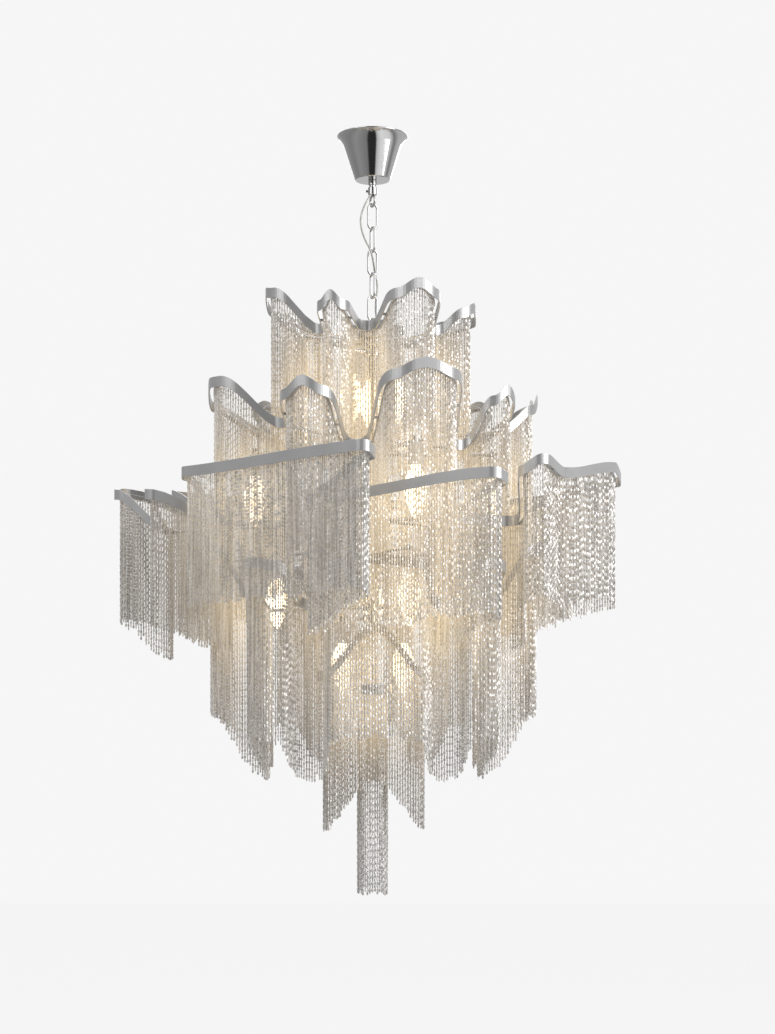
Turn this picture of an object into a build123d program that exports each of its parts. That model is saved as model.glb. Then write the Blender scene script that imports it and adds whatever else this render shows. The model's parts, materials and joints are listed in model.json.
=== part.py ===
"""Tiered chain chandelier: a ceiling canopy, a five-link suspension chain with its supply cord woven
through it, and a hanging body of five wavy metal ribbons and a centre column, all fringed with fine chain.

Units are millimetres. The origin is the middle of the ceiling bracket's top face, +Z points up, and the
object is seen in front from -Y, so +X is its right-hand side.
"""
import os
from dataclasses import dataclass
from math import acos, atan2, ceil, cos, degrees, hypot, pi, radians, sin, tan

from build123d import *

# Ceiling fixing
BRACKET_LENGTH = 88.0
BRACKET_WIDTH = 22.0
BRACKET_THICK = 3.0
BRACKET_FLOOR = 12.0            # depth of the bracket's dropped middle below the ceiling
BRACKET_STEP = 26.0             # half width of the dropped middle
BRACKET_BEND = 1.2              # how far a bend's inner corner lies from its outer one
FIXING_SPACING = 68.0           # centre to centre of the two ceiling screws
FIXING_HOLE = 5.0

# Canopy
CANOPY_RIM_RADIUS = 55.5
CANOPY_BASE_RADIUS = 26.5
CANOPY_HEIGHT = 70.0
CANOPY_WALL = 1.2
CANOPY_LIP = 3.0                # height of the rolled rim
CANOPY_RIM_WIDTH = 2.4          # thickness of the rolled rim
CANOPY_FLARE_SAG = 0.7          # how far the flare under the rim curves in from a straight line
CANOPY_EDGE = 1.3               # bevel round the base
CANOPY_THROAT = 16.0            # depth at which the flared rim runs into the straight taper
CANOPY_THROAT_RADIUS = 45.0

# Threaded stem, its nuts and the hanging loop
STEM_RADIUS = 5.0
STEM_BORE = 3.2
STEM_FIT = 0.10
STEM_PROUD = 1.5                # the stem's end above the upper nut
NUT_ACROSS = 16.0
NUT_HEIGHT = 5.0
CANOPY_NUT_RADIUS = 6.6
CANOPY_NUT_HEIGHT = 8.0
COLLAR_RADIUS = 7.2
COLLAR_HEIGHT = 12.0
COLLAR_DROP = 3.0               # canopy nut to the collar's top face
COLLAR_FLOOR = 3.0              # the collar's bottom, below the stem's end
TURNED_EDGE = 0.8               # bevel on the small turned pieces
NECK_RADIUS = 3.0
EYE_WIRE = 3.6
EYE_INNER_RADIUS = 6.4
EYE_SINK = 0.5                  # how far the upper eye's wire runs up into the collar
EYE_SEAT = 1.2                  # how far a neck runs past the middle of the wire that it carries
COLLAR_SCREW_RADIUS = 1.5
COLLAR_SCREW_REACH = 3.0        # from the collar's wall to the screw's head
COLLAR_SCREW_HEAD_RADIUS = 2.2
COLLAR_SCREW_HEAD = 2.4
SCREW_FIT = 0.08
SCREW_END_GAP = 0.3             # between the collar screw's end and the stem

# Terminal block
TERMINAL_WIDTH = 12.0
TERMINAL_LENGTH = 30.0
TERMINAL_HEIGHT = 12.0
TERMINAL_DROP = 13.0            # bracket to the block's top
TERMINAL_POST = 4.0             # side of the square post that holds the block
TERMINAL_WELL_RADIUS = 2.0
TERMINAL_WELL_PITCH = 9.0

# Suspension chain
LINK_COUNT = 5
LINK_WIRE = 3.2
LINK_INNER_LENGTH = 36.3
LINK_INNER_WIDTH = 11.8
LINK_GAP = 0.3                  # play between two links that hang in each other
CHAIN_TURN = 25.0               # degrees that the chain hangs turned about its own line

# Supply cord
CORD_DIAMETER = 3.0
CORD_FILL = 0.45                # share of the shorter run that an arc takes up
CORD_FIT = 0.1                  # between the cord and the gland or hole that it passes through
CORD_SOCKET = 6.0               # depth of the cord's hole in the hub

# Body frame
HUB_RADIUS = 24.0
HUB_HEIGHT = 12.0
HUB_EDGE = 1.5
HUB_BOSS_RADIUS = 8.0
HUB_BOSS_HEIGHT = 4.0           # hub to the middle of the lower eye's wire
HUB_BOSS_FOOT = 2.0             # height of the boss's straight foot
COLUMN_RADIUS = 8.0
COLUMN_WALL = 1.5
GLAND_RADIUS = 4.0
GLAND_HEIGHT = 5.0
GLAND_FOOT = 2.0
GLAND_TIP_WALL = 0.7
FINIAL_LIP = 2.0                # how far the finial stands out past the column
FINIAL_BAND = 3.0
FINIAL_HEIGHT = 12.0
FINIAL_TIP_RADIUS = 3.0
SPIDER_RADIUS = 15.0
SPIDER_HEIGHT = 12.0
SPIDER_EDGE = 1.0
SPIDER_FIT = 0.10
ARM_RADIUS = 2.5
ARM_LUG_RADIUS = 4.0
ARM_LUG_LENGTH = 5.0
SEAT_GAP = 0.3                  # between an arm's end and the rail that it carries

# Ribbons and chain fringe
RIBBON_HEIGHT = 16.0
RIBBON_THICK = 2.0
RIBBON_JOINT = 0.4              # butt gap where the strip's two ends meet
RAIL_SETBACK = 8.0              # ribbon's outer face to the rail's outer face
RAIL_WIDTH = 4.0
RAIL_HEIGHT = 5.0
RAIL_SINK = 9.0                 # top of the ribbon to the top of the rail
RAIL_JOINT = 0.3
STRAND_WIDTH = 5.4
STRAND_THICK = 2.2
STRAND_PITCH = 21.0
STRAND_ROOT = 2.0               # how far a strand's head runs up into the rail
STRAND_RAGGED = 9.0             # most that a strand hangs short of the longest
RAGGED_STEP = 0.618             # share of that most by which a strand differs from the last
TAB_WIDTH = 6.0
TAB_HEIGHT = 3.0
RIBBON_ARC_STEP = 24.0          # degrees of bend for each facet
RAIL_ARC_STEP = 38.0
RUN_STEP = 60.0                 # longest facet on a straight run
RUN_SHARE = 0.48                # most of a run that a bend beside it may take up
STRAND_CLEAR = 0.8              # between a strand and the arm, lamp or ribbon that it makes way for
STRAND_MOVES = (0.0, 4.0, -4.0, 8.0, -8.0)
STRAND_SHORTEST = 30.0

# Lamps
HOLDER_RADIUS = 12.0
HOLDER_HEIGHT = 34.0
HOLDER_CROWN = 5.0              # height of the holder's tapered crown
HOLDER_CROWN_RADIUS = 8.0
BULB_RADIUS = 17.5
BULB_LENGTH = 96.0
BULB_NECK_RADIUS = 7.5
BULB_NECK = 4.0                 # the neck's length below the holder
BULB_BELLY = 0.34               # share of the glass at which it is widest
BULB_TIP_RADIUS = 2.0
LAMP_ARM_RADIUS = 3.0
KNUCKLE_RADIUS = 5.0
KNUCKLE_HEIGHT = 9.0
SOCKET_DEPTH = 18.0
LAMP_FIT = 0.3
CUT_PAST = 1.0                  # how far a cut runs past the face that it opens
SAME_WAY = 1e-6                 # two facets whose outward sides differ by less are one


@dataclass(frozen=True)
class Tier:
    """One wavy ribbon. A lobe is its bends in plan, the last one being the valley beside it, each as
    right, back and rise above the tier's level; the level is measured from the hub's top face."""
    name: str
    level: float
    chain: float
    tip_radius: float
    valley_radius: float
    arch: float
    lobes: tuple
    groups: tuple


TIER_1 = Tier("tier_1", 41.5, 210.0, 38.0, 14.0, 14.0, (
    ((60, 160, -3), (-45, 162, -3), (-40, 60, -35)),
    ((-115, 140, -3), (-165, 80, -3), (-85, 15, -35)),
    ((-172, 20, 0), (-162, -46, 20), (-74, -42, -38)),
    ((-86, -128, -17), (-40, -138, -17), (-8, -42, -38)),
    ((32, -163, -4), (110, -140, -2), (90, -48, -42)),
    ((146, -58, -14), (170, -15, -22), (88, 28, -35)),
    ((168, 55, -3), (120, 135, -3), (42, 62, -35)),
), (2, 2, 2, 1))

TIER_2 = Tier("tier_2", -98.5, 240.0, 48.0, 18.0, 16.0, (
    ((70, 245, 0), (-70, 245, 0), (-60, 110, -70)),
    ((-140, 205, 0), (-215, 130, 0), (-140, 45, -60)),
    ((-264, -8, -14), (-240, -88, 16), (-130, -88, -50)),
    ((-140, -190, -20), (-64, -215, -18), (-22, -110, -90)),
    ((22, -245, 0), (138, -222, 4), (122, -70, -84)),
    ((184, -128, -20), (228, -92, -18), (196, -52, -54)),
    ((258, -22, -18), (262, 40, -12), (140, 55, -60)),
    ((215, 140, 0), (130, 215, 0), (60, 110, -70)),
), (2, 2, 2, 2))

TIER_3 = Tier("tier_3", -228.5, 200.0, 20.0, 14.0, 0.0, (
    ((105, 350, 0), (-85, 345, 0), (-108, 185, -50)),
    ((-195, 300, -5), (-340, 140, -5), (-240, 55, -50)),
    ((-398, 40, -14), (-410, -12, -20), (-300, -32, -78)),
    ((-352, -50, -24), (-347, -82, -27), (-172, -50, -67)),
    ((-290, -86, 0), (-287, -122, 2), (-6, -362, 12), (10, -322, 4), (-112, -190, -44)),
    ((182, -276, -16), (202, -244, -24), (96, -128, -68)),
    ((226, -96, -70), (216, -150, 0), (258, -170, 17), (292, -109, 3), (380, -20, 21), (398, 18, 2),
     (190, 50, -40)),
    ((345, 150, -5), (205, 310, -5), (122, 185, -50)),
), (2, 2, 2, 2))

TIER_4 = Tier("tier_4", -354.0, 262.0, 36.0, 18.0, 6.0, (
    ((70, 250, 0), (-70, 250, 0), (-65, 130, -60)),
    ((-130, 215, 0), (-225, 140, 0), (-160, 55, -60)),
    ((-264, 15, 20), (-258, -60, 20), (-155, -52, -75)),
    ((-205, -150, -18), (-140, -205, -18), (-84, -110, -75)),
    ((-70, -198, -15), (82, -198, -15), (106, -118, -75)),
    ((152, -200, -18), (210, -145, -18), (158, -50, -75)),
    ((262, -60, 18), (266, 15, 18), (160, 55, -60)),
    ((225, 140, 0), (130, 215, 0), (65, 130, -60)),
), (2, 2, 2, 2))

TIER_5 = Tier("tier_5", -528.5, 240.0, 24.0, 14.0, 0.0, (
    ((-86, 44, -4), (-86, -44, -4), (4, -36, 72)),
    ((90, -44, 0), (90, 44, -2), (4, 36, 72)),
), (1, 1))

TIERS = (TIER_1, TIER_2, TIER_3, TIER_4, TIER_5)

COLUMN_RING_RADIUS = 33.0
COLUMN_RING_LEVEL = -554.0
COLUMN_CHAIN = 318.0
COLUMN_STRANDS = 16
COLUMN_COLLAR_RADIUS = 13.0
COLUMN_COLLAR_HEIGHT = 8.0
COLUMN_ARMS = 4
COLUMN_ARM_RADIUS = 2.0
COLUMN_SPACERS = 4
SPACER_RUN = 25.0               # shortest straight facet that gets a spacer


@dataclass(frozen=True)
class LampLevel:
    """A level of lamps: how far the lamps' arms lie below the hub's top face, and each lamp's place as
    its distance from the axis and its bearing in degrees."""
    name: str
    level: float
    places: tuple


LAMP_LEVELS = (
    LampLevel("upper", -33.0, ((40.0, 215.0), (40.0, 335.0), (40.0, 95.0))),
    LampLevel("outer", -193.0, ((185.0, 191.0), (190.0, 290.0), (190.0, 2.0), (190.0, 90.0))),
    LampLevel("inner", -350.0, ((150.0, 185.0), (150.0, 292.0), (150.0, 5.0), (150.0, 90.0))),
    LampLevel("lower", -451.0, ((48.0, 180.0), (48.0, 0.0))),
)

os.makedirs("parts", exist_ok=True)


def save(name, shape):
    """Writes one sub-part and prints how many solids it has."""
    solids = shape.solids()
    export_step(Compound(children=list(solids)) if len(solids) > 1 else solids[0], f"parts/{name}.step")
    print(f"{name}: {len(solids)} solids, {sum(s.volume for s in solids):.0f} mm3")


def upright(radius, low, high, x=0.0, y=0.0):
    """A vertical cylinder between two heights."""
    return Pos(x, y, (low + high) / 2) * Cylinder(radius, high - low)


def rod(start, end, radius):
    """A round bar between two points."""
    line = Vector(*end) - Vector(*start)
    plane = Plane(origin=start, z_dir=line)
    return plane * Pos(0, 0, line.length / 2) * Cylinder(radius, line.length)


def revolved(points):
    """Turns a closed profile of radius and height pairs about the vertical axis."""
    return revolve(Plane.XZ * make_face(Polyline(*points, close=True)), Axis.Z)


# Heights that follow from the driving sizes
COLLAR_TOP = -(CANOPY_HEIGHT + CANOPY_NUT_HEIGHT + COLLAR_DROP)
COLLAR_BOTTOM = COLLAR_TOP - COLLAR_HEIGHT
STEM_END = COLLAR_BOTTOM + COLLAR_FLOOR
EYE_CENTRE = COLLAR_BOTTOM + EYE_SINK - EYE_WIRE - EYE_INNER_RADIUS
EYE_LOW_WIRE = EYE_CENTRE - EYE_INNER_RADIUS - EYE_WIRE / 2
LINK_STEP = LINK_INNER_LENGTH - LINK_GAP
FIRST_LINK_TOP = EYE_LOW_WIRE + EYE_WIRE / 2 + LINK_GAP + LINK_WIRE / 2
LAST_LINK_LOW = FIRST_LINK_TOP - (LINK_COUNT - 1) * LINK_STEP - LINK_INNER_LENGTH - LINK_WIRE
BODY_EYE_HIGH_WIRE = LAST_LINK_LOW + LINK_WIRE / 2 + LINK_GAP + EYE_WIRE / 2
BODY_EYE_CENTRE = BODY_EYE_HIGH_WIRE - EYE_WIRE / 2 - EYE_INNER_RADIUS
HUB_TOP = BODY_EYE_CENTRE - EYE_INNER_RADIUS - EYE_WIRE / 2 - HUB_BOSS_HEIGHT
COLUMN_LOW = HUB_TOP + COLUMN_RING_LEVEL - RIBBON_HEIGHT


# Ceiling bracket, nuts and stem
def ceiling_bracket():
    """A flat bar whose middle drops away from the ceiling to clear the stem's upper nut."""
    half = BRACKET_LENGTH / 2
    foot = BRACKET_STEP - BRACKET_FLOOR
    outline = Polyline(
        (-half, 0), (-BRACKET_STEP, 0), (-foot, -BRACKET_FLOOR + BRACKET_THICK),
        (foot, -BRACKET_FLOOR + BRACKET_THICK), (BRACKET_STEP, 0), (half, 0),
        (half, -BRACKET_THICK), (BRACKET_STEP - BRACKET_BEND, -BRACKET_THICK),
        (foot + BRACKET_BEND - BRACKET_THICK, -BRACKET_FLOOR),
        (-foot - BRACKET_BEND + BRACKET_THICK, -BRACKET_FLOOR),
        (-BRACKET_STEP + BRACKET_BEND, -BRACKET_THICK), (-half, -BRACKET_THICK), close=True)
    bar = extrude(Plane.XZ * make_face(outline), BRACKET_WIDTH / 2, both=True)
    for side in (-1, 1):
        bar -= upright(FIXING_HOLE / 2, -BRACKET_THICK - CUT_PAST, CUT_PAST, side * FIXING_SPACING / 2)
    return bar - upright(STEM_RADIUS + STEM_FIT, -BRACKET_FLOOR - CUT_PAST, CUT_PAST)


def hex_nut(across, height, low):
    """A plain hexagon nut on the stem."""
    nut = Pos(0, 0, low) * extrude(RegularPolygon(across / 2, 6, major_radius=False), height)
    return nut - upright(STEM_RADIUS + STEM_FIT, low - CUT_PAST, low + height + CUT_PAST)


def stem_tube():
    """The hollow threaded stem from above the bracket into the loop's collar."""
    high = -BRACKET_FLOOR + BRACKET_THICK + NUT_HEIGHT + STEM_PROUD
    return upright(STEM_RADIUS, STEM_END, high) - upright(STEM_BORE, STEM_END - CUT_PAST, high + CUT_PAST)


def canopy_cup():
    """A bell-shaped cup, wide end up: rolled lip, flared throat, straight taper, flat base."""
    wall, low = CANOPY_WALL, -CANOPY_HEIGHT
    rim_top = (CANOPY_RIM_RADIUS - CANOPY_RIM_WIDTH / 2, 0)
    rim_side = (CANOPY_RIM_RADIUS, -CANOPY_LIP / 2)
    rim_foot = (CANOPY_RIM_RADIUS - CANOPY_RIM_WIDTH / 2, -CANOPY_LIP)
    throat = (CANOPY_THROAT_RADIUS, -CANOPY_THROAT)
    flare = ((rim_foot[0] + throat[0]) / 2 - CANOPY_FLARE_SAG, (rim_foot[1] + throat[1]) / 2 + CANOPY_FLARE_SAG)
    edge = (CANOPY_BASE_RADIUS + CANOPY_EDGE, low + CANOPY_EDGE)
    bore = STEM_RADIUS + STEM_FIT
    inner_throat = (throat[0] - wall, throat[1])
    inner_rim = CANOPY_RIM_RADIUS - CANOPY_RIM_WIDTH
    line = [
        Line((inner_rim, 0), rim_top),
        ThreePointArc(rim_top, rim_side, rim_foot),
        ThreePointArc(rim_foot, flare, throat),
        Line(throat, edge),
        Line(edge, (CANOPY_BASE_RADIUS, low)),
        Line((CANOPY_BASE_RADIUS, low), (bore, low)),
        Line((bore, low), (bore, low + wall)),
        Line((bore, low + wall), (CANOPY_BASE_RADIUS, low + wall)),
        Line((CANOPY_BASE_RADIUS, low + wall), inner_throat),
        ThreePointArc(inner_throat, (flare[0] - wall, flare[1]), (inner_rim, -CANOPY_LIP)),
        Line((inner_rim, -CANOPY_LIP), (inner_rim, 0)),
    ]
    return revolve(Plane.XZ * make_face(Wire(line)), Axis.Z)


def canopy_nut():
    """The round nut that holds the canopy up on the stem."""
    top = -CANOPY_HEIGHT
    low = top - CANOPY_NUT_HEIGHT
    nut = upright(CANOPY_NUT_RADIUS, low, top)
    nut = chamfer(nut.edges().filter_by(GeomType.CIRCLE), TURNED_EDGE)
    return nut - upright(STEM_RADIUS + STEM_FIT, low - CUT_PAST, top + CUT_PAST)


def terminal_block():
    """A three-way terminal block with its screw wells, on a post under the bracket's arm."""
    place = BRACKET_STEP + TERMINAL_POST
    top = -BRACKET_THICK - TERMINAL_DROP
    middle = top - TERMINAL_HEIGHT / 2
    block = Pos(place, 0, middle) * Box(TERMINAL_WIDTH, TERMINAL_LENGTH, TERMINAL_HEIGHT)
    for row in (-1, 0, 1):
        block -= upright(TERMINAL_WELL_RADIUS, top - TERMINAL_HEIGHT - CUT_PAST, middle,
                         place, row * TERMINAL_WELL_PITCH)
    post = Pos(place, 0, (middle - BRACKET_THICK) / 2)
    return block + post * Box(TERMINAL_POST, TERMINAL_POST, -BRACKET_THICK - middle)


# Suspension chain
def ring_eye(centre, wire, inner, turn):
    """A closed eye standing in the vertical plane that is turned by an angle."""
    eye = Rot(0, 0, turn) * Rot(90, 0, 0) * Torus(inner + wire / 2, wire / 2)
    return Pos(0, 0, centre) * eye


def hanging_loop():
    """The collar that screws on the stem, with a short neck and the eye that carries the chain."""
    loop = upright(COLLAR_RADIUS, COLLAR_BOTTOM, COLLAR_TOP)
    loop = chamfer(loop.edges().filter_by(GeomType.CIRCLE), TURNED_EDGE)
    high_wire = EYE_CENTRE + EYE_INNER_RADIUS + EYE_WIRE / 2
    loop += upright(NECK_RADIUS, high_wire - EYE_SEAT, COLLAR_BOTTOM + EYE_SEAT)
    loop += ring_eye(EYE_CENTRE, EYE_WIRE, EYE_INNER_RADIUS, CHAIN_TURN + 90)
    loop -= upright(STEM_RADIUS + STEM_FIT, STEM_END - STEM_FIT, COLLAR_TOP + CUT_PAST)
    z = COLLAR_TOP - COLLAR_HEIGHT / 2
    return loop - rod((-STEM_RADIUS, 0, z), (-COLLAR_RADIUS - CUT_PAST, 0, z), COLLAR_SCREW_RADIUS + SCREW_FIT)


def collar_screw():
    """The thumb screw in the collar's side."""
    inner = -STEM_RADIUS - SCREW_END_GAP
    outer = -COLLAR_RADIUS - COLLAR_SCREW_REACH
    z = COLLAR_TOP - COLLAR_HEIGHT / 2
    screw = rod((inner, 0, z), (outer, 0, z), COLLAR_SCREW_RADIUS)
    return screw + rod((outer + COLLAR_SCREW_HEAD, 0, z), (outer, 0, z), COLLAR_SCREW_HEAD_RADIUS)


def chain_link(number):
    """One oval link; every other link stands square to its neighbours."""
    top = FIRST_LINK_TOP - number * LINK_STEP
    radius = (LINK_INNER_WIDTH + LINK_WIRE) / 2
    half = (LINK_INNER_LENGTH + LINK_WIRE) / 2 - radius
    path = SlotCenterToCenter(2 * half, 2 * radius).wire()
    section = Plane(origin=path @ 0, z_dir=path % 0) * Circle(LINK_WIRE / 2)
    link = sweep(section, path)
    turn = CHAIN_TURN + 90 * (number % 2)
    return Pos(0, 0, top - half - radius) * Rot(0, 0, turn) * Rot(90, 0, 0) * Rot(0, 0, 90) * link


# Supply cord, as points of its route from the loop's collar to the gland on the hub
CORD_ROUTE = (
    (-1.7, -4.7, COLLAR_BOTTOM + 1.0),
    (-9.5, -9.0, -104.0),
    (-19.0, -7.0, -127.0),
    (-18.0, -6.0, -147.0),
    (-11.5, -8.5, -166.0),
    (-2.8, -9.6, -181.0),
    (1.2, -1.2, -197.0),
    (3.4, 9.8, -212.5),
    (8.3, 10.5, -232.0),
    (5.2, 10.1, -255.0),
    (4.6, 10.7, -276.0),
    (8.6, 9.0, HUB_TOP + GLAND_HEIGHT),
)
GLAND_X, GLAND_Y = CORD_ROUTE[-1][0], CORD_ROUTE[-1][1]


def cord_radii(points):
    """The largest arc that each corner of the route allows."""
    corners = []
    for before, here, after in zip(points, points[1:], points[2:]):
        run_in = Vector(*here) - Vector(*before)
        run_out = Vector(*after) - Vector(*here)
        turn = radians(run_in.get_angle(run_out))
        corners.append(CORD_FILL * min(run_in.length, run_out.length) / tan(turn / 2))
    return corners


def supply_cord():
    """The cord's stretches, one for each joint of the chain that it passes, cut square to the axis."""
    route = list(CORD_ROUTE)
    arcs = cord_radii(route)
    print("cord arc radii:", [round(r, 1) for r in arcs])
    path = FilletPolyline(*route, radius=arcs)
    start = Plane(origin=path @ 0, z_dir=path % 0)
    tube = sweep(start * Circle(CORD_DIAMETER / 2), path)
    print(f"cord length {path.length:.1f}, volume {tube.volume:.1f}, "
          f"section times length {pi * CORD_DIAMETER ** 2 / 4 * path.length:.1f}")
    joints = [EYE_LOW_WIRE] + [FIRST_LINK_TOP - n * LINK_STEP - LINK_INNER_LENGTH - LINK_WIRE
                               for n in range(LINK_COUNT)]
    cuts = [COLLAR_BOTTOM] + [(a + b) / 2 for a, b in zip(joints, joints[1:])] + [HUB_TOP + GLAND_HEIGHT]
    width = 4 * HUB_RADIUS
    stretches = []
    for high, low in zip(cuts, cuts[1:]):
        stretches.append(tube & Pos(0, 0, (high + low) / 2) * Box(width, width, high - low))
    return stretches


# Body frame
def body_eye():
    """The eye that the chain carries, on a boss that screws down on the hub."""
    eye = ring_eye(BODY_EYE_CENTRE, EYE_WIRE, EYE_INNER_RADIUS, CHAIN_TURN + 90)
    crown = HUB_TOP + HUB_BOSS_HEIGHT + EYE_SEAT
    boss = revolved([(0, HUB_TOP), (HUB_BOSS_RADIUS, HUB_TOP), (HUB_BOSS_RADIUS, HUB_TOP + HUB_BOSS_FOOT),
                     (NECK_RADIUS, crown), (0, crown)])
    return boss + eye


def hub_plate():
    """The round plate at the top of the column, with a chamfered edge and a cord hole."""
    hub = upright(HUB_RADIUS, HUB_TOP - HUB_HEIGHT, HUB_TOP)
    hub = chamfer(hub.edges().filter_by(GeomType.CIRCLE), HUB_EDGE)
    return hub - upright(CORD_DIAMETER / 2 + CORD_FIT, HUB_TOP - CORD_SOCKET, HUB_TOP + CUT_PAST, GLAND_X, GLAND_Y)


def cord_gland():
    """The tapered gland that takes the cord into the hub."""
    bore = CORD_DIAMETER / 2 + CORD_FIT
    taper = revolved([(bore, 0), (GLAND_RADIUS, 0), (GLAND_RADIUS, GLAND_FOOT),
                      (bore + GLAND_TIP_WALL, GLAND_HEIGHT), (bore, GLAND_HEIGHT)])
    return Pos(GLAND_X, GLAND_Y, HUB_TOP) * taper


def centre_column():
    """The tube that every arm is fixed to."""
    low = COLUMN_LOW
    high = HUB_TOP - HUB_HEIGHT
    return (upright(COLUMN_RADIUS, low, high)
            - upright(COLUMN_RADIUS - COLUMN_WALL, low - CUT_PAST, high + CUT_PAST))


def bottom_finial():
    """The turned end that closes the column: a band over a rounded foot."""
    radius = COLUMN_RADIUS + FINIAL_LIP
    band = COLUMN_LOW - FINIAL_BAND
    end = COLUMN_LOW - FINIAL_HEIGHT
    eighth = radians(45)
    turn = (radius * cos(eighth), band + (end - band) * sin(eighth))
    line = [
        Line((0, COLUMN_LOW), (radius, COLUMN_LOW)),
        Line((radius, COLUMN_LOW), (radius, band)),
        ThreePointArc((radius, band), turn, (FINIAL_TIP_RADIUS, end)),
        Line((FINIAL_TIP_RADIUS, end), (0, end)),
        Line((0, end), (0, COLUMN_LOW)),
    ]
    return revolve(Plane.XZ * make_face(Wire(line)), Axis.Z)


# Ribbon outline
@dataclass
class Station:
    """A point on a ribbon's outer top edge, with the outward side there. height is set where a bend or a
    crown fixes it, bend marks the middle of a bend, and valley numbers the lobe whose valley is there."""
    x: float
    y: float
    nx: float
    ny: float
    z: float = 0.0
    height: float = None
    bend: bool = False
    valley: int = -1


def bend_arc(before, bend, after, radius, arc_step):
    """Rounds one bend with an even number of facets, as large as the runs beside it allow."""
    in_x, in_y = before[0] - bend[0], before[1] - bend[1]
    out_x, out_y = after[0] - bend[0], after[1] - bend[1]
    in_run, out_run = hypot(in_x, in_y), hypot(out_x, out_y)
    in_x, in_y, out_x, out_y = in_x / in_run, in_y / in_run, out_x / out_run, out_y / out_run
    turn = pi - acos(in_x * out_x + in_y * out_y)
    reach = min(radius * tan(turn / 2), RUN_SHARE * in_run, RUN_SHARE * out_run)
    radius = reach / tan(turn / 2)
    away = hypot(reach, radius) / hypot(in_x + out_x, in_y + out_y)
    centre_x, centre_y = bend[0] + (in_x + out_x) * away, bend[1] + (in_y + out_y) * away
    start = atan2(bend[1] + in_y * reach - centre_y, bend[0] + in_x * reach - centre_x)
    sense = 1 if in_y * out_x > in_x * out_y else -1
    steps = 2 * max(1, round(degrees(turn) / arc_step / 2))
    arc = []
    for step in range(steps + 1):
        angle = start + sense * turn * step / steps
        arc.append(Station(centre_x + radius * cos(angle), centre_y + radius * sin(angle),
                           sense * cos(angle), sense * sin(angle)))
    return arc


def straight_run(start, end, crown):
    """The stations between two bends, with the crown's height in the middle where there is one."""
    parts = ceil(hypot(end.x - start.x, end.y - start.y) / RUN_STEP)
    if crown is not None:
        parts = 2 * ceil(parts / 2)
    run = []
    for part in range(1, parts):
        share = part / parts
        run.append(Station(start.x + share * (end.x - start.x), start.y + share * (end.y - start.y),
                           start.nx, start.ny))
    if crown is not None:
        run[parts // 2 - 1].height = crown
    return run


def ease_heights(stations, base):
    """Lets the ribbon rise and fall smoothly between the heights that are set."""
    places, place = [], 0.0
    for here, after in zip(stations, stations[1:] + stations[:1]):
        places.append(place)
        place += hypot(after.x - here.x, after.y - here.y)
    knots = [(at, station.height) for at, station in zip(places, stations) if station.height is not None]
    knots = [(knots[-1][0] - place, knots[-1][1])] + knots + [(knots[0][0] + place, knots[0][1])]
    for at, station in zip(places, stations):
        low, high = next((a, b) for a, b in zip(knots, knots[1:]) if a[0] <= at <= b[0])
        ease = (1 - cos(pi * (at - low[0]) / (high[0] - low[0]))) / 2
        station.z = base + low[1] + (high[1] - low[1]) * ease


def outline(tier, arc_step):
    """Stations all the way round the tier, from the first tip of its first lobe."""
    corners, crowns = [], {}
    for number, lobe in enumerate(tier.lobes):
        tips = lobe[:-1]
        if len(tips) == 2:
            crowns[len(corners)] = (tips[0][2] + tips[1][2]) / 2 + tier.arch
        corners += [(tip, tier.tip_radius, -1) for tip in tips]
        corners.append((lobe[-1], tier.valley_radius, number))
    arcs = []
    for index, (bend, radius, valley) in enumerate(corners):
        arc = bend_arc(corners[index - 1][0], bend, corners[(index + 1) % len(corners)][0], radius, arc_step)
        arc[len(arc) // 2].height = bend[2]
        arc[len(arc) // 2].bend = True
        arc[len(arc) // 2].valley = valley
        arcs.append(arc)
    stations = []
    for index, arc in enumerate(arcs):
        stations += arc + straight_run(arc[-1], arcs[(index + 1) % len(arcs)][0], crowns.get(index))
    ease_heights(stations, HUB_TOP + tier.level)
    return stations


def along(station, shift):
    """The station moved along the ribbon, forwards where the shift is positive."""
    return Station(station.x - shift * station.ny, station.y + shift * station.nx,
                   station.nx, station.ny, station.z)


def inside(station, setback, drop):
    """The point that lies inside the ribbon's outer top edge by a setback and below it by a drop."""
    return (station.x - setback * station.nx, station.y - setback * station.ny, station.z - drop)


def flat(*corners):
    """A flat face between corners."""
    return Face(Wire.make_polygon(corners, close=True))


def strip(stations, setback, width, top, height):
    """An upright strip of metal bent through the stations. Its walls are flat between two stations, and
    its edges twist a little as it climbs round a bend, so each is a pair of triangles."""
    sections = []
    for station in stations:
        sections.append((inside(station, setback, top), inside(station, setback, top + height),
                         inside(station, setback + width, top + height), inside(station, setback + width, top)))
    faces = [flat(*sections[0]), flat(*reversed(sections[-1]))]
    for (a, b, c, d), (e, f, g, h) in zip(sections, sections[1:]):
        faces += [flat(a, e, f, b), flat(c, g, h, d)]
        faces += [flat(a, d, h), flat(a, h, e), flat(b, f, g), flat(b, g, c)]
    return Solid(Shell(faces))


def ribbon(tier):
    """The tier's metal ribbon, whose ends meet behind with a butt gap."""
    stations = outline(tier, RIBBON_ARC_STEP)
    return strip(stations + [along(stations[0], -RIBBON_JOINT)], 0.0, RIBBON_THICK, 0.0, RIBBON_HEIGHT)


def rail_stretches(tier):
    """The rail's stretches, each carrying a few lobes from the middle of one valley to that of another."""
    stations = outline(tier, RAIL_ARC_STEP)
    valleys = [index for index, station in enumerate(stations) if station.valley >= 0]
    first = valleys[-1]
    turned = stations[first:] + stations[:first + 1]
    ends = [0] + [index + len(stations) - first for index in valleys]
    stretches, lobe = [], 0
    for count in tier.groups:
        stretch = turned[ends[lobe]:ends[lobe + count] + 1]
        stretches.append([along(stretch[0], RAIL_JOINT / 2)] + stretch[1:-1]
                         + [along(stretch[-1], -RAIL_JOINT / 2)])
        lobe += count
    return stretches


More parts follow.
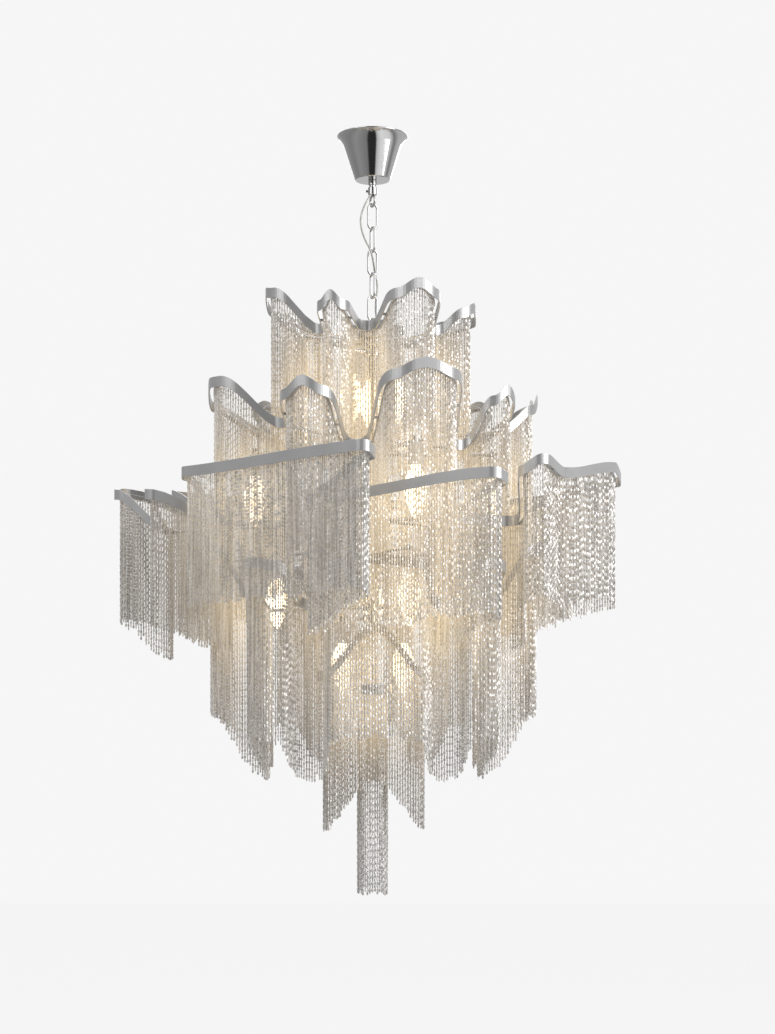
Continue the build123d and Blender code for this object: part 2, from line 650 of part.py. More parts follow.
def rail_lengths(stretch):
    """The lengths that a stretch of rail is made in, which butt in the middle of each bend."""
    cuts = [0] + [index for index, station in enumerate(stretch) if station.bend] + [len(stretch) - 1]
    lengths = []
    for first, last in zip(cuts, cuts[1:]):
        start = along(stretch[first], RAIL_JOINT / 2 if stretch[first].bend else 0.0)
        end = along(stretch[last], -RAIL_JOINT / 2 if stretch[last].bend else 0.0)
        lengths.append([start] + stretch[first + 1:last] + [end])
    return lengths


# What the strands make way for
@dataclass(frozen=True)
class Obstacle:
    """A stretch that runs from one point to another, as wide as its radius on every side."""
    start: tuple
    end: tuple
    radius: float

    def blocks(self, x, y, low, high):
        """Whether an upright strand at this place, between these heights, would come too near."""
        run_x, run_y = self.end[0] - self.start[0], self.end[1] - self.start[1]
        run = run_x ** 2 + run_y ** 2
        share = 0.0
        if run > 0.0:
            share = ((x - self.start[0]) * run_x + (y - self.start[1]) * run_y) / run
            share = max(0.0, min(1.0, share))
        apart = hypot(x - self.start[0] - share * run_x, y - self.start[1] - share * run_y)
        return (apart < self.radius + STRAND_WIDTH / 2 + STRAND_CLEAR
                and min(self.start[2], self.end[2]) - self.radius < high
                and max(self.start[2], self.end[2]) + self.radius > low)


def ribbon_obstacles(tier):
    """The tier's ribbon and rail, facet by facet, as the strands of the tiers above meet them."""
    stations = outline(tier, RIBBON_ARC_STEP)
    middle = (RAIL_SETBACK + RAIL_WIDTH) / 2
    facets = []
    for here, after in zip(stations, stations[1:] + stations[:1]):
        facets.append(Obstacle(inside(here, middle, RIBBON_HEIGHT / 2), inside(after, middle, RIBBON_HEIGHT / 2),
                               middle))
    return facets


# Arms
def spider_height(tier):
    """The height of the tier's hub collar: level with its valleys' rails, but clear of the hub above."""
    rises = [lobe[-1][2] for lobe in tier.lobes]
    level = HUB_TOP + tier.level + sum(rises) / len(rises) - RAIL_SINK - RAIL_HEIGHT / 2
    return min(level, HUB_TOP - HUB_HEIGHT - SPIDER_HEIGHT / 2)


def spider_arms(tier):
    """For each valley, the arm's start at the collar, its lug's two ends and its own end inside the lug."""
    arms = []
    for station in outline(tier, RAIL_ARC_STEP):
        if station.valley < 0:
            continue
        drop = RAIL_SINK + RAIL_HEIGHT / 2
        seat = RAIL_SETBACK + RAIL_WIDTH + SEAT_GAP
        near, middle, far = (inside(station, seat + depth, drop)
                             for depth in (0.0, ARM_LUG_LENGTH / 2, ARM_LUG_LENGTH))
        away = hypot(middle[0], middle[1]) / (SPIDER_RADIUS - ARM_RADIUS)
        arms.append(((middle[0] / away, middle[1] / away, spider_height(tier)), near, far, middle))
    return arms


def collar(height, radius, level):
    """A plain collar on the centre column."""
    ring = upright(radius, level - height / 2, level + height / 2)
    ring = chamfer(ring.edges().filter_by(GeomType.CIRCLE), SPIDER_EDGE)
    return ring - upright(COLUMN_RADIUS + SPIDER_FIT, level - height, level + height)


def spider(tier):
    """A collar with one arm and lug for each valley of the tier."""
    body = collar(SPIDER_HEIGHT, SPIDER_RADIUS, spider_height(tier))
    parts = []
    for start, near, far, middle in spider_arms(tier):
        parts += [rod(start, middle, ARM_RADIUS), rod(near, far, ARM_LUG_RADIUS)]
    return body.fuse(*parts)


def lamp_places(lamps):
    """The plan places of one level of lamps."""
    return [(radius * cos(radians(bearing)), radius * sin(radians(bearing)))
            for radius, bearing in lamps.places]


def lamp_arms(lamps):
    """A collar with an arm and a knuckle for each lamp of the level."""
    level = HUB_TOP + lamps.level
    body = collar(SPIDER_HEIGHT, SPIDER_RADIUS, level)
    parts = []
    for x, y in lamp_places(lamps):
        away = hypot(x, y) / (SPIDER_RADIUS - LAMP_ARM_RADIUS)
        parts.append(rod((x / away, y / away, level), (x, y, level), LAMP_ARM_RADIUS))
        parts.append(upright(KNUCKLE_RADIUS, level - KNUCKLE_HEIGHT / 2, level + KNUCKLE_HEIGHT / 2, x, y))
    return body.fuse(*parts)


def holder_profile():
    """A lamp holder's section: a cup with a tapered crown and a socket for the lamp's cap."""
    bore = BULB_NECK_RADIUS + LAMP_FIT
    socket = -HOLDER_HEIGHT + SOCKET_DEPTH
    return revolved([(0, 0), (HOLDER_CROWN_RADIUS, 0), (HOLDER_RADIUS, -HOLDER_CROWN),
                     (HOLDER_RADIUS, -HOLDER_HEIGHT), (bore, -HOLDER_HEIGHT), (bore, socket), (0, socket)])


def bulb_profile():
    """A candle lamp that hangs tip down: cap, neck, a shoulder that swells to the belly, a drawn-out tip."""
    top = -HOLDER_HEIGHT + SOCKET_DEPTH - LAMP_FIT
    end = top - BULB_LENGTH
    mouth = -HOLDER_HEIGHT - BULB_NECK
    belly = mouth + BULB_BELLY * (end - mouth)
    shoulder = ((BULB_NECK_RADIUS + 2 * BULB_RADIUS) / 3, (mouth + belly) / 2)
    taper = ((BULB_TIP_RADIUS + 3 * BULB_RADIUS) / 4, (belly + end) / 2)
    line = [
        Line((0, top), (BULB_NECK_RADIUS, top)),
        Line((BULB_NECK_RADIUS, top), (BULB_NECK_RADIUS, mouth)),
        ThreePointArc((BULB_NECK_RADIUS, mouth), shoulder, (BULB_RADIUS, belly)),
        ThreePointArc((BULB_RADIUS, belly), taper, (BULB_TIP_RADIUS, end)),
        Line((BULB_TIP_RADIUS, end), (0, end)),
        Line((0, end), (0, top)),
    ]
    return revolve(Plane.XZ * make_face(Wire(line)), Axis.Z)


def on_lamps(shape):
    """The shape at every lamp, below the knuckle."""
    placed = []
    for lamps in LAMP_LEVELS:
        for x, y in lamp_places(lamps):
            placed.append(Pos(x, y, HUB_TOP + lamps.level - KNUCKLE_HEIGHT / 2) * shape)
    return placed


# Strands
def strand(x, y, angle, top, bottom):
    """One length of chain as a flat bar, its broad side along the rail."""
    return Pos(x, y, (top + bottom) / 2) * Rot(0, 0, degrees(angle)) * Box(STRAND_WIDTH, STRAND_THICK, top - bottom)


def strand_foot(x, y, high, low, obstacles):
    """How low a strand can hang here: its full length, or to just above what lies in its way."""
    tops = [max(obstacle.start[2], obstacle.end[2]) + obstacle.radius + STRAND_CLEAR
            for obstacle in obstacles if obstacle.blocks(x, y, low, high)]
    return max([low] + tops)


def curtain(stations, chain, obstacles):
    """One length of rail with the strands that hang from it, each in the clearest place near its own."""
    line = [inside(station, RAIL_SETBACK + RAIL_WIDTH / 2, RAIL_SINK + RAIL_HEIGHT) for station in stations]
    lengths = [hypot(b[0] - a[0], b[1] - a[1]) for a, b in zip(line, line[1:])]
    count = max(1, round(sum(lengths) / STRAND_PITCH))
    end = STRAND_WIDTH / 2 + STRAND_CLEAR
    strands = []
    for number in range(count):
        middle = sum(lengths) * (number + 0.5) / count
        short = STRAND_RAGGED * (number * RAGGED_STEP % 1)
        choices = []
        for move in STRAND_MOVES:
            if not end <= middle + move <= sum(lengths) - end:
                continue
            x, y, z, angle = place_on(line, lengths, middle + move)
            choices.append((strand_foot(x, y, z, z - chain + short, obstacles), abs(move), x, y, z, angle))
        foot, _, x, y, z, angle = min(choices)
        if z - foot > STRAND_SHORTEST:
            strands.append(strand(x, y, angle, z + STRAND_ROOT, foot))
    rail = strip(stations, RAIL_SETBACK, RAIL_WIDTH, RAIL_SINK, RAIL_HEIGHT)
    return rail.fuse(*strands) if strands else rail


def place_on(line, lengths, at):
    """The point at a distance along a line of points, and the bearing of the line there."""
    for here, after, length in zip(line, line[1:], lengths):
        if at <= length or after is line[-1]:
            share = at / length
            point = [a + share * (b - a) for a, b in zip(here, after)]
            return *point, atan2(after[1] - here[1], after[0] - here[0])
        at -= length


def arm_obstacles():
    """Every arm, lug, lamp arm, holder and bulb, as the strands meet them."""
    found = []
    for tier in TIERS:
        for start, near, far, middle in spider_arms(tier):
            found += [Obstacle(start, middle, ARM_RADIUS), Obstacle(near, far, ARM_LUG_RADIUS)]
    for lamps in LAMP_LEVELS:
        level = HUB_TOP + lamps.level
        for x, y in lamp_places(lamps):
            mouth = level - KNUCKLE_HEIGHT / 2 - HOLDER_HEIGHT
            tip = mouth + SOCKET_DEPTH - LAMP_FIT - BULB_LENGTH
            found.append(Obstacle((0, 0, level), (x, y, level), LAMP_ARM_RADIUS))
            found.append(Obstacle((x, y, level), (x, y, mouth), HOLDER_RADIUS))
            found.append(Obstacle((x, y, mouth), (x, y, tip), BULB_RADIUS))
    band = HUB_TOP + COLUMN_RING_LEVEL
    found.append(Obstacle((0, 0, band), (0, 0, band - RIBBON_HEIGHT), COLUMN_RING_RADIUS))
    return found


# Column fringe
def column_band():
    """The round metal band at the foot of the column, like a small ribbon."""
    top = HUB_TOP + COLUMN_RING_LEVEL
    return (upright(COLUMN_RING_RADIUS, top - RIBBON_HEIGHT, top)
            - upright(COLUMN_RING_RADIUS - RIBBON_THICK, top - RIBBON_HEIGHT - CUT_PAST, top + CUT_PAST))


def column_curtain():
    """The ring rail inside the band with its strands, the longest of the whole fringe."""
    high = HUB_TOP + COLUMN_RING_LEVEL - RAIL_SINK
    low = high - RAIL_HEIGHT
    outer = COLUMN_RING_RADIUS - RAIL_SETBACK
    rail = upright(outer, low, high) - upright(outer - RAIL_WIDTH, low - CUT_PAST, high + CUT_PAST)
    strands = []
    for number in range(COLUMN_STRANDS):
        angle = 2 * pi * number / COLUMN_STRANDS
        reach = outer - RAIL_WIDTH / 2
        short = STRAND_RAGGED * (number * RAGGED_STEP % 1)
        strands.append(strand(reach * cos(angle), reach * sin(angle), angle + pi / 2,
                              low + STRAND_ROOT, low - COLUMN_CHAIN + short))
    return rail.fuse(*strands)


def column_spider():
    """A collar with the arms that carry the ring rail, midway between the band's spacers."""
    level = HUB_TOP + COLUMN_RING_LEVEL - RAIL_SINK - RAIL_HEIGHT / 2
    body = collar(COLUMN_COLLAR_HEIGHT, COLUMN_COLLAR_RADIUS, level)
    near = (COLUMN_RADIUS + COLUMN_COLLAR_RADIUS) / 2
    far = COLUMN_RING_RADIUS - RAIL_SETBACK - RAIL_WIDTH - SEAT_GAP
    arms = []
    for arm in range(COLUMN_ARMS):
        angle = 2 * pi * (arm + 0.5) / COLUMN_ARMS
        arms.append(rod((near * cos(angle), near * sin(angle), level),
                        (far * cos(angle), far * sin(angle), level), COLUMN_ARM_RADIUS))
    return body.fuse(*arms)


# Spacers between ribbon and rail
def spacer_block(x, y, z, angle, depth):
    """One block that fills the space between a ribbon and its rail."""
    return Pos(x, y, z) * Rot(0, 0, degrees(angle)) * Box(TAB_WIDTH, depth, TAB_HEIGHT)


def rail_spacers():
    """A block in the middle of each long straight facet, and four round the column's band."""
    blocks = []
    depth = RAIL_SETBACK - RIBBON_THICK
    drop = RAIL_SINK + RAIL_HEIGHT / 2
    for tier in TIERS:
        stations = outline(tier, RAIL_ARC_STEP)
        for here, after in zip(stations, stations[1:] + stations[:1]):
            straight = abs(here.nx - after.nx) + abs(here.ny - after.ny) < SAME_WAY
            if not straight or hypot(after.x - here.x, after.y - here.y) < SPACER_RUN:
                continue
            a = inside(here, RIBBON_THICK + depth / 2, drop)
            b = inside(after, RIBBON_THICK + depth / 2, drop)
            blocks.append(spacer_block((a[0] + b[0]) / 2, (a[1] + b[1]) / 2, (a[2] + b[2]) / 2,
                                       atan2(b[1] - a[1], b[0] - a[0]), depth))
    level = HUB_TOP + COLUMN_RING_LEVEL - drop
    for number in range(COLUMN_SPACERS):
        angle = 2 * pi * number / COLUMN_SPACERS
        reach = COLUMN_RING_RADIUS - RIBBON_THICK - depth / 2
        blocks.append(spacer_block(reach * cos(angle), reach * sin(angle), level, angle + pi / 2,
                                   depth - SEAT_GAP))
    return blocks


def group(shapes):
    """Several separate solids as one sub-part."""
    return Compound(children=[solid for shape in shapes for solid in shape.solids()])


save("ceiling_bracket", ceiling_bracket())
save("bracket_nuts", group([hex_nut(NUT_ACROSS, NUT_HEIGHT, -BRACKET_FLOOR + BRACKET_THICK),
                            hex_nut(NUT_ACROSS, NUT_HEIGHT, -BRACKET_FLOOR - NUT_HEIGHT)]))
save("stem_tube", stem_tube())
save("canopy_cup", canopy_cup())
save("canopy_nut", canopy_nut())
save("terminal_block", terminal_block())
save("hanging_loop", hanging_loop())
save("collar_screw", collar_screw())
for number in range(LINK_COUNT):
    save(f"chain_link_{number + 1}", chain_link(number))
for number, stretch in enumerate(supply_cord()):
    save(f"cord_{number + 1}", stretch)
save("body_eye", body_eye())
save("hub_plate", hub_plate())
save("cord_gland", cord_gland())
save("centre_column", centre_column())
save("bottom_finial", bottom_finial())
save("column_band", column_band())
save("column_curtain", column_curtain())
save("column_spider", column_spider())
save("rail_spacers", group(rail_spacers()))
for tier in TIERS:
    save(f"ribbon_{tier.name}", ribbon(tier))
    save(f"spider_{tier.name}", spider(tier))
save("lamp_arms", group([lamp_arms(lamps) for lamps in LAMP_LEVELS]))
save("lamp_holders", group(on_lamps(holder_profile())))
save("bulbs", group(on_lamps(bulb_profile())))
ARMS_AND_LAMPS = arm_obstacles()
for index, tier in enumerate(TIERS):
    in_the_way = list(ARMS_AND_LAMPS)
    for other in TIERS[index + 1:]:
        in_the_way += ribbon_obstacles(other)
    for number, stretch in enumerate(rail_stretches(tier)):
        save(f"curtain_{tier.name}_{'abcd'[number]}",
             group([curtain(stations, tier.chain, in_the_way) for stations in rail_lengths(stretch)]))
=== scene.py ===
"""Dresses the tiered chain chandelier: five bevelled wavy ribbons, each with its rail and its fringe of fine
chain, the chain round the column, lit lamps, the suspension chain's cord and every metal's finish.

Lengths are metres. Sizes that the object shares with its model are written in millimetres and turned into
metres by MM where they are used.
"""
import json
import logging
import random
from dataclasses import dataclass
from enum import Enum
from math import acos, atan2, ceil, cos, degrees, floor, hypot, pi, radians, sin, tan
from typing import Iterable, Optional, Sequence, Union

import bpy
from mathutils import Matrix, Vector


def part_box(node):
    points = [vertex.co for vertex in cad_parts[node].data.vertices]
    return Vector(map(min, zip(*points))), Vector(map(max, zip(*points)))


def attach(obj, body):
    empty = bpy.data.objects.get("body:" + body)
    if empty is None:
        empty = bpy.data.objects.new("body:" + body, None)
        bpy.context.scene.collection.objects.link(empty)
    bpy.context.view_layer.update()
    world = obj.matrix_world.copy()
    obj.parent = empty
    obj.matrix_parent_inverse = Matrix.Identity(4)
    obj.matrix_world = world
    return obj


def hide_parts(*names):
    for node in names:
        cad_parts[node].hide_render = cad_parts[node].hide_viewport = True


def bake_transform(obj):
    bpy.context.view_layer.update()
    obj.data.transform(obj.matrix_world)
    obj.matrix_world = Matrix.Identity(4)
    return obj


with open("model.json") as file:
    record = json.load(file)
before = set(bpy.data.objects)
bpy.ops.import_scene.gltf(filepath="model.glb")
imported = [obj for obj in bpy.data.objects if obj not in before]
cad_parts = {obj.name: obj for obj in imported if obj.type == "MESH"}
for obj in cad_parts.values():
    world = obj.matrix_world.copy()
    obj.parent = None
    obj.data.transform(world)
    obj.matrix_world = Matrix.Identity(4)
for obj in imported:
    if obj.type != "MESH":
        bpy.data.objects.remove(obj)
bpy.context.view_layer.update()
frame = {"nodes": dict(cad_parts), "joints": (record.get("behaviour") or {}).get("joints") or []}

logging.basicConfig(level=logging.INFO, format="%(levelname)s %(message)s")
LOG = logging.getLogger("chandelier")

MM = 0.001
Number = Union[float, "Signal"]
Point = tuple[float, float, float]
Colour = tuple[float, float, float, float]

# The level that every tier and lamp is measured from
HUB_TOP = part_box("hub_plate")[1][2] / MM

# Ribbon and rail
RIBBON_HEIGHT = 16.0
RIBBON_THICK = 2.0
RIBBON_EDGE = 0.35
RIBBON_JOINT = 0.4      # gap between the ribbon's two ends
RAIL_SETBACK = 8.0      # ribbon's outer face to the rail's outer face
RAIL_WIDTH = 4.0
RAIL_HEIGHT = 5.0
RAIL_SINK = 9.0         # top of the ribbon to the top of the rail
RAIL_EDGE = 0.5
RUN_SHARE = 0.48        # most that a bend takes of the straight run beside it
FINE_ARC = 6.0          # degrees of bend, and longest straight, between two stations of a visible ribbon
FINE_RUN = 16.0
COARSE_ARC = 24.0       # the same, of a ribbon that strands only make way for
COARSE_RUN = 60.0

# Fringe
STRAND_PITCH = 4.1
STRAND_HEAD = 1.0       # how far a strand's head runs up into the rail
STRAND_RAGGED = 9.0     # most that a strand hangs short of the longest
STRAND_CLEAR = 0.6      # between a strand and what it makes way for
STRAND_SHORTEST = 12.0
COLUMN_PITCH = 4.0
DICE_SEED = 5
RAIL_HIDES = 3.8        # most that a strand starts higher than its neighbours, inside the rail


class Slot(Enum):
    """The material slots of the record."""
    RIBBON = "ribbon_steel"
    CHAIN = "fine_chain"
    CORD = "cord_sleeve"


class Body(Enum):
    """The moving bodies that new pieces ride on."""
    FIXING = "ceiling_fixing"
    HANGING = "hanging_body"


class Signal:
    """One value in a node tree. Python's operators on it add Math nodes."""

    def __init__(self, bench: "NodeBench", socket: bpy.types.NodeSocket) -> None:
        """Wraps a socket of the bench's tree."""
        self.bench = bench
        self.socket = socket

    def __add__(self, other: Number) -> "Signal":
        """The sum."""
        return self.bench.math("ADD", self, other)

    __radd__ = __add__

    def __sub__(self, other: Number) -> "Signal":
        """The difference."""
        return self.bench.math("SUBTRACT", self, other)

    def __rsub__(self, other: Number) -> "Signal":
        """The difference, with the number first."""
        return self.bench.math("SUBTRACT", other, self)

    def __mul__(self, other: Number) -> "Signal":
        """The product."""
        return self.bench.math("MULTIPLY", self, other)

    __rmul__ = __mul__

    def __truediv__(self, other: Number) -> "Signal":
        """The quotient."""
        return self.bench.math("DIVIDE", self, other)

    def __rtruediv__(self, other: Number) -> "Signal":
        """The quotient, with the number first."""
        return self.bench.math("DIVIDE", other, self)

    def __mod__(self, other: Number) -> "Signal":
        """What the division leaves."""
        return self.bench.math("MODULO", self, other)

    def __pow__(self, other: Number) -> "Signal":
        """The power."""
        return self.bench.math("POWER", self, other)

    def clamped(self) -> "Signal":
        """The value held between 0 and 1."""
        return self.bench.math("MINIMUM", self.bench.math("MAXIMUM", self, 0.0), 1.0)


class NodeBench:
    """Adds every node of one tree, shader or geometry, in the same way."""
    MIX_LOW = 6         # the Mix node's sockets for two colours and for the one between them
    MIX_HIGH = 7
    MIX_COLOUR = 2

    def __init__(self, tree: bpy.types.NodeTree) -> None:
        """Takes a tree and empties it."""
        self.tree = tree
        self.tree.nodes.clear()

    def add(self, kind: str, settings: Optional[dict] = None,
            values: Optional[dict] = None) -> bpy.types.Node:
        """Adds one node.

        Args:
            kind: the node's type.
            settings: its own settings, set before its inputs. "stops" gives a ramp's stops.
            values: its inputs by name or number, each a number, colour, socket, node or signal.

        Returns:
            The node.
        """
        node = self.tree.nodes.new(kind)
        for name, value in (settings or {}).items():
            if name == "stops":
                self._set_stops(node.color_ramp, value)
            else:
                setattr(node, name, value)
        for name, value in (values or {}).items():
            self.feed(node.inputs[name], value)
        return node

    def feed(self, target: bpy.types.NodeSocket, value: object) -> None:
        """Links or sets one input.

        Args:
            target: the input.
            value: a number, colour, socket, node or signal.
        """
        if isinstance(value, Signal):
            value = value.socket
        elif isinstance(value, bpy.types.Node):
            value = value.outputs[0]
        if isinstance(value, bpy.types.NodeSocket):
            self.tree.links.new(value, target)
        else:
            target.default_value = value

    def value(self, node: bpy.types.Node, output: Union[int, str] = 0) -> Signal:
        """One output of a node as a signal."""
        return Signal(self, node.outputs[output])

    def math(self, operation: str, *values: Number) -> Signal:
        """The result of one Math node.

        Args:
            operation: the node's operation.
            values: its inputs in order, numbers or signals.

        Returns:
            The node's result.
        """
        return self.value(self.add("ShaderNodeMath", {"operation": operation}, dict(enumerate(values))))

    def mix(self, share: Signal, low: object, high: object) -> bpy.types.NodeSocket:
        """A colour between two.

        Args:
            share: how much of the high one, from 0 to 1.
            low: the colour at 0, or where it comes from.
            high: the colour at 1, or where it comes from.

        Returns:
            The socket that gives it.
        """
        node = self.add("ShaderNodeMix", {"data_type": "RGBA"}, {
            "Factor": share, self.MIX_LOW: low, self.MIX_HIGH: high})
        return node.outputs[self.MIX_COLOUR]

    @staticmethod
    def _set_stops(ramp: bpy.types.ColorRamp, stops: Sequence[tuple[float, tuple]]) -> None:
        """Gives a ramp its stops.

        Args:
            ramp: the ramp.
            stops: each stop's place and colour, in order.
        """
        while len(ramp.elements) > 1:
            ramp.elements.remove(ramp.elements[-1])
        ramp.elements[0].position = stops[0][0]
        ramp.elements[0].color = stops[0][1]
        for place, colour in stops[1:]:
            ramp.elements.new(place).color = colour


def grey(level: float) -> Colour:
    """A neutral colour."""
    return (level, level, level, 1.0)


def darker(colour: Colour, share: float) -> Colour:
    """A share of a colour's brightness."""
    return (*(part * share for part in colour[:3]), 1.0)


@dataclass(frozen=True)
class Finish:
    """A finish: its name and the material that it makes."""
    name: str

    def material(self) -> bpy.types.Material:
        """Builds the material.

        Returns:
            The new material, or the one that was built before.
        """
        known = bpy.data.materials.get(self.name)
        if known is not None and known.get("dressed"):
            return known
        made = bpy.data.materials.new(self.name)
        made.use_nodes = True
        made["dressed"] = True
        bench = NodeBench(made.node_tree)
        shader = self.shade(bench)
        bench.add("ShaderNodeOutputMaterial", None, {"Surface": shader})
        return made

    def shade(self, bench: NodeBench) -> bpy.types.Node:
        """Adds the shader and returns it. Each finish has its own."""
        raise NotImplementedError

    def noise(self, bench: NodeBench, scale: float, detail: float = 3.0,
              stretch: Point = (1.0, 1.0, 1.0)) -> Signal:
        """A noise on the object's own coordinates.

        Args:
            bench: the material's nodes.
            scale: how fine it is.
            detail: how many finer layers it has.
            stretch: the scale along each axis, below 1 to draw it out.

        Returns:
            Its value.
        """
        place = bench.add("ShaderNodeTexCoord").outputs["Object"]
        stretched = bench.add("ShaderNodeMapping", None, {"Vector": place, "Scale": stretch})
        return bench.value(bench.add("ShaderNodeTexNoise", None, {
            "Vector": stretched, "Scale": scale, "Detail": detail}))

    def tone(self, bench: NodeBench, by: Signal, low: Colour, high: Colour,
             stops: tuple[float, float] = (0.3, 0.7)) -> bpy.types.Node:
        """A colour that drifts with a value.

        Args:
            bench: the material's nodes.
            by: the value.
            low: the colour up to the first stop.
            high: the colour from the second stop on.
            stops: the value at each stop.

        Returns:
            The node that gives it.
        """
        ramp = (stops[0], low), (stops[1], high)
        return bench.add("ShaderNodeValToRGB", {"stops": ramp}, {"Fac": by})

    def bump(self, bench: NodeBench, height: Signal, strength: float, distance: float) -> bpy.types.Node:
        """A bump from a height.

        Args:
            bench: the material's nodes.
            height: the height, from 0 to 1.
            strength: the share of it that shows.
            distance: the depth from 0 to 1, in metres.

        Returns:
            The bump node.
        """
        return bench.add("ShaderNodeBump", None, {
            "Height": height, "Strength": strength, "Distance": distance})


@dataclass(frozen=True)
class PolishedMetal(Finish):
    """Plated or polished metal with faint smears and fine scratches."""
    colour: Colour = grey(0.74)
    dull: float = 0.9
    metallic: float = 1.0
    roughness: float = 0.10
    smear: float = 0.08
    smear_scale: float = 18.0
    grain_scale: float = 900.0
    grain_detail: float = 2.0
    grain_strength: float = 0.04
    grain_depth: float = 0.0004

    def shade(self, bench: NodeBench) -> bpy.types.Node:
        """A surface whose tone and gloss drift, with a fine grain in its bump.

        Args:
            bench: the material's nodes.

        Returns:
            The shader node.
        """
        smears = self.noise(bench, self.smear_scale)
        grain = self.noise(bench, self.grain_scale, self.grain_detail)
        return bench.add("ShaderNodeBsdfPrincipled", None, {
            "Base Color": self.tone(bench, smears, darker(self.colour, self.dull), self.colour),
            "Metallic": self.metallic, "Roughness": self.roughness + smears * self.smear,
            "Normal": self.bump(bench, grain, self.grain_strength, self.grain_depth)})


@dataclass(frozen=True)
class MouldedPlastic(PolishedMetal):
    """Moulded plastic, whose grain is finer and rougher than a metal's."""
    dull: float = 0.88
    metallic: float = 0.0
    roughness: float = 0.45
    smear: float = 0.1
    smear_scale: float = 30.0
    grain_scale: float = 1500.0
    grain_strength: float = 0.12
    grain_depth: float = 0.0002


@dataclass(frozen=True)
class FringeChain(Finish):
    """Bright aluminium chain with a painted amber glow near each lamp for the lamps' light on it, and some
    strands duller than others.
    """
    colour: Colour = (0.88, 0.86, 0.84, 1.0)
    dull: float = 0.50
    dull_stops: tuple[float, float] = (0.35, 0.7)
    streak_scale: float = 240.0
    streak_detail: float = 2.0
    streak_stretch: Point = (1.0, 1.0, 0.04)
    metallic: float = 0.55
    roughness: float = 0.30
    roughness_drift: float = 0.12
    # the painted glow near the lamps: their places, its colour, reach, falloff and strength
    lamps: tuple[Point, ...] = ()
    painted_glow_colour: Colour = (1.0, 0.76, 0.44, 1.0)
    reach: float = 0.092
    falloff: float = 4.0
    glow: float = 0.32

    def shade(self, bench: NodeBench) -> bpy.types.Node:
        """Aluminium with a painted amber glow near each lamp.

        Args:
            bench: the material's nodes.

        Returns:
            The shader node.
        """
        streaks = self.noise(bench, self.streak_scale, self.streak_detail, self.streak_stretch)
        tone = self.tone(bench, streaks, darker(self.colour, self.dull), self.colour, self.dull_stops)
        # painted light: an emission glow near each lamp stands in for the lamps' light on the chain
        glow = bench.mix(self.painted_lamp_glow(bench).clamped(), grey(0.0), self.painted_glow_colour)
        return bench.add("ShaderNodeBsdfPrincipled", None, {
            "Base Color": tone, "Metallic": self.metallic,
            "Roughness": self.roughness + streaks * self.roughness_drift,
            "Emission Color": glow, "Emission Strength": self.glow})

    def painted_lamp_glow(self, bench: NodeBench) -> Signal:
        """How near the lamps a point is, which sets the painted glow.

        Args:
            bench: the material's nodes.

        Returns:
            A value that is 1 beside a lamp and a half at its reach, added up over the lamps.
        """
        place = bench.add("ShaderNodeTexCoord").outputs["Object"]
        halos = []
        for lamp in self.lamps:
            away = bench.add("ShaderNodeVectorMath", {"operation": "DISTANCE"}, {0: place, 1: lamp})
            share = bench.value(away, "Value") / self.reach
            halos.append(1.0 / (1.0 + share ** self.falloff))
        return sum(halos)


@dataclass(frozen=True)
class LitGlass(Finish):
    """A frosted lamp that is on, a little unevenly bright."""
    glass: Colour = grey(0.85)
    colour: Colour = (1.0, 0.72, 0.38, 1.0)
    hottest: Colour = (1.0, 0.86, 0.62, 1.0)
    hot_stops: tuple[float, float] = (0.35, 0.65)
    cloud_scale: float = 40.0
    roughness: float = 0.25
    roughness_drift: float = 0.1
    strength: float = 2.4

    def shade(self, bench: NodeBench) -> bpy.types.Node:
        """Glass that glows.

        Args:
            bench: the material's nodes.

        Returns:
            The shader node.
        """
        cloud = self.noise(bench, self.cloud_scale)
        return bench.add("ShaderNodeBsdfPrincipled", None, {
            "Base Color": self.glass, "Roughness": self.roughness + cloud * self.roughness_drift,
            "Emission Color": self.tone(bench, cloud, self.colour, self.hottest, self.hot_stops),
            "Emission Strength": self.strength})


@dataclass(frozen=True)
class ClearSleeve(Finish):
    """A clear cord sleeve over bright conductors, which reads as silvery grey."""
    colour: Colour = (0.56, 0.55, 0.53, 1.0)
    dull: float = 0.72
    dull_stops: tuple[float, float] = (0.35, 0.65)
    twist_scale: float = 420.0
    twist_detail: float = 2.0
    twist_stretch: Point = (1.0, 1.0, 0.35)
    twist_strength: float = 0.15
    twist_depth: float = 0.0003
    metallic: float = 0.25
    roughness: float = 0.22
    roughness_drift: float = 0.1

    def shade(self, bench: NodeBench) -> bpy.types.Node:
        """Glossy grey with the twist of the conductors showing faintly.

        Args:
            bench: the material's nodes.

        Returns:
            The shader node.
        """
        twist = self.noise(bench, self.twist_scale, self.twist_detail, self.twist_stretch)
        tone = self.tone(bench, twist, darker(self.colour, self.dull), self.colour, self.dull_stops)
        return bench.add("ShaderNodeBsdfPrincipled", None, {
            "Base Color": tone, "Metallic": self.metallic,
            "Roughness": self.roughness + twist * self.roughness_drift,
            "Normal": self.bump(bench, twist, self.twist_strength, self.twist_depth)})


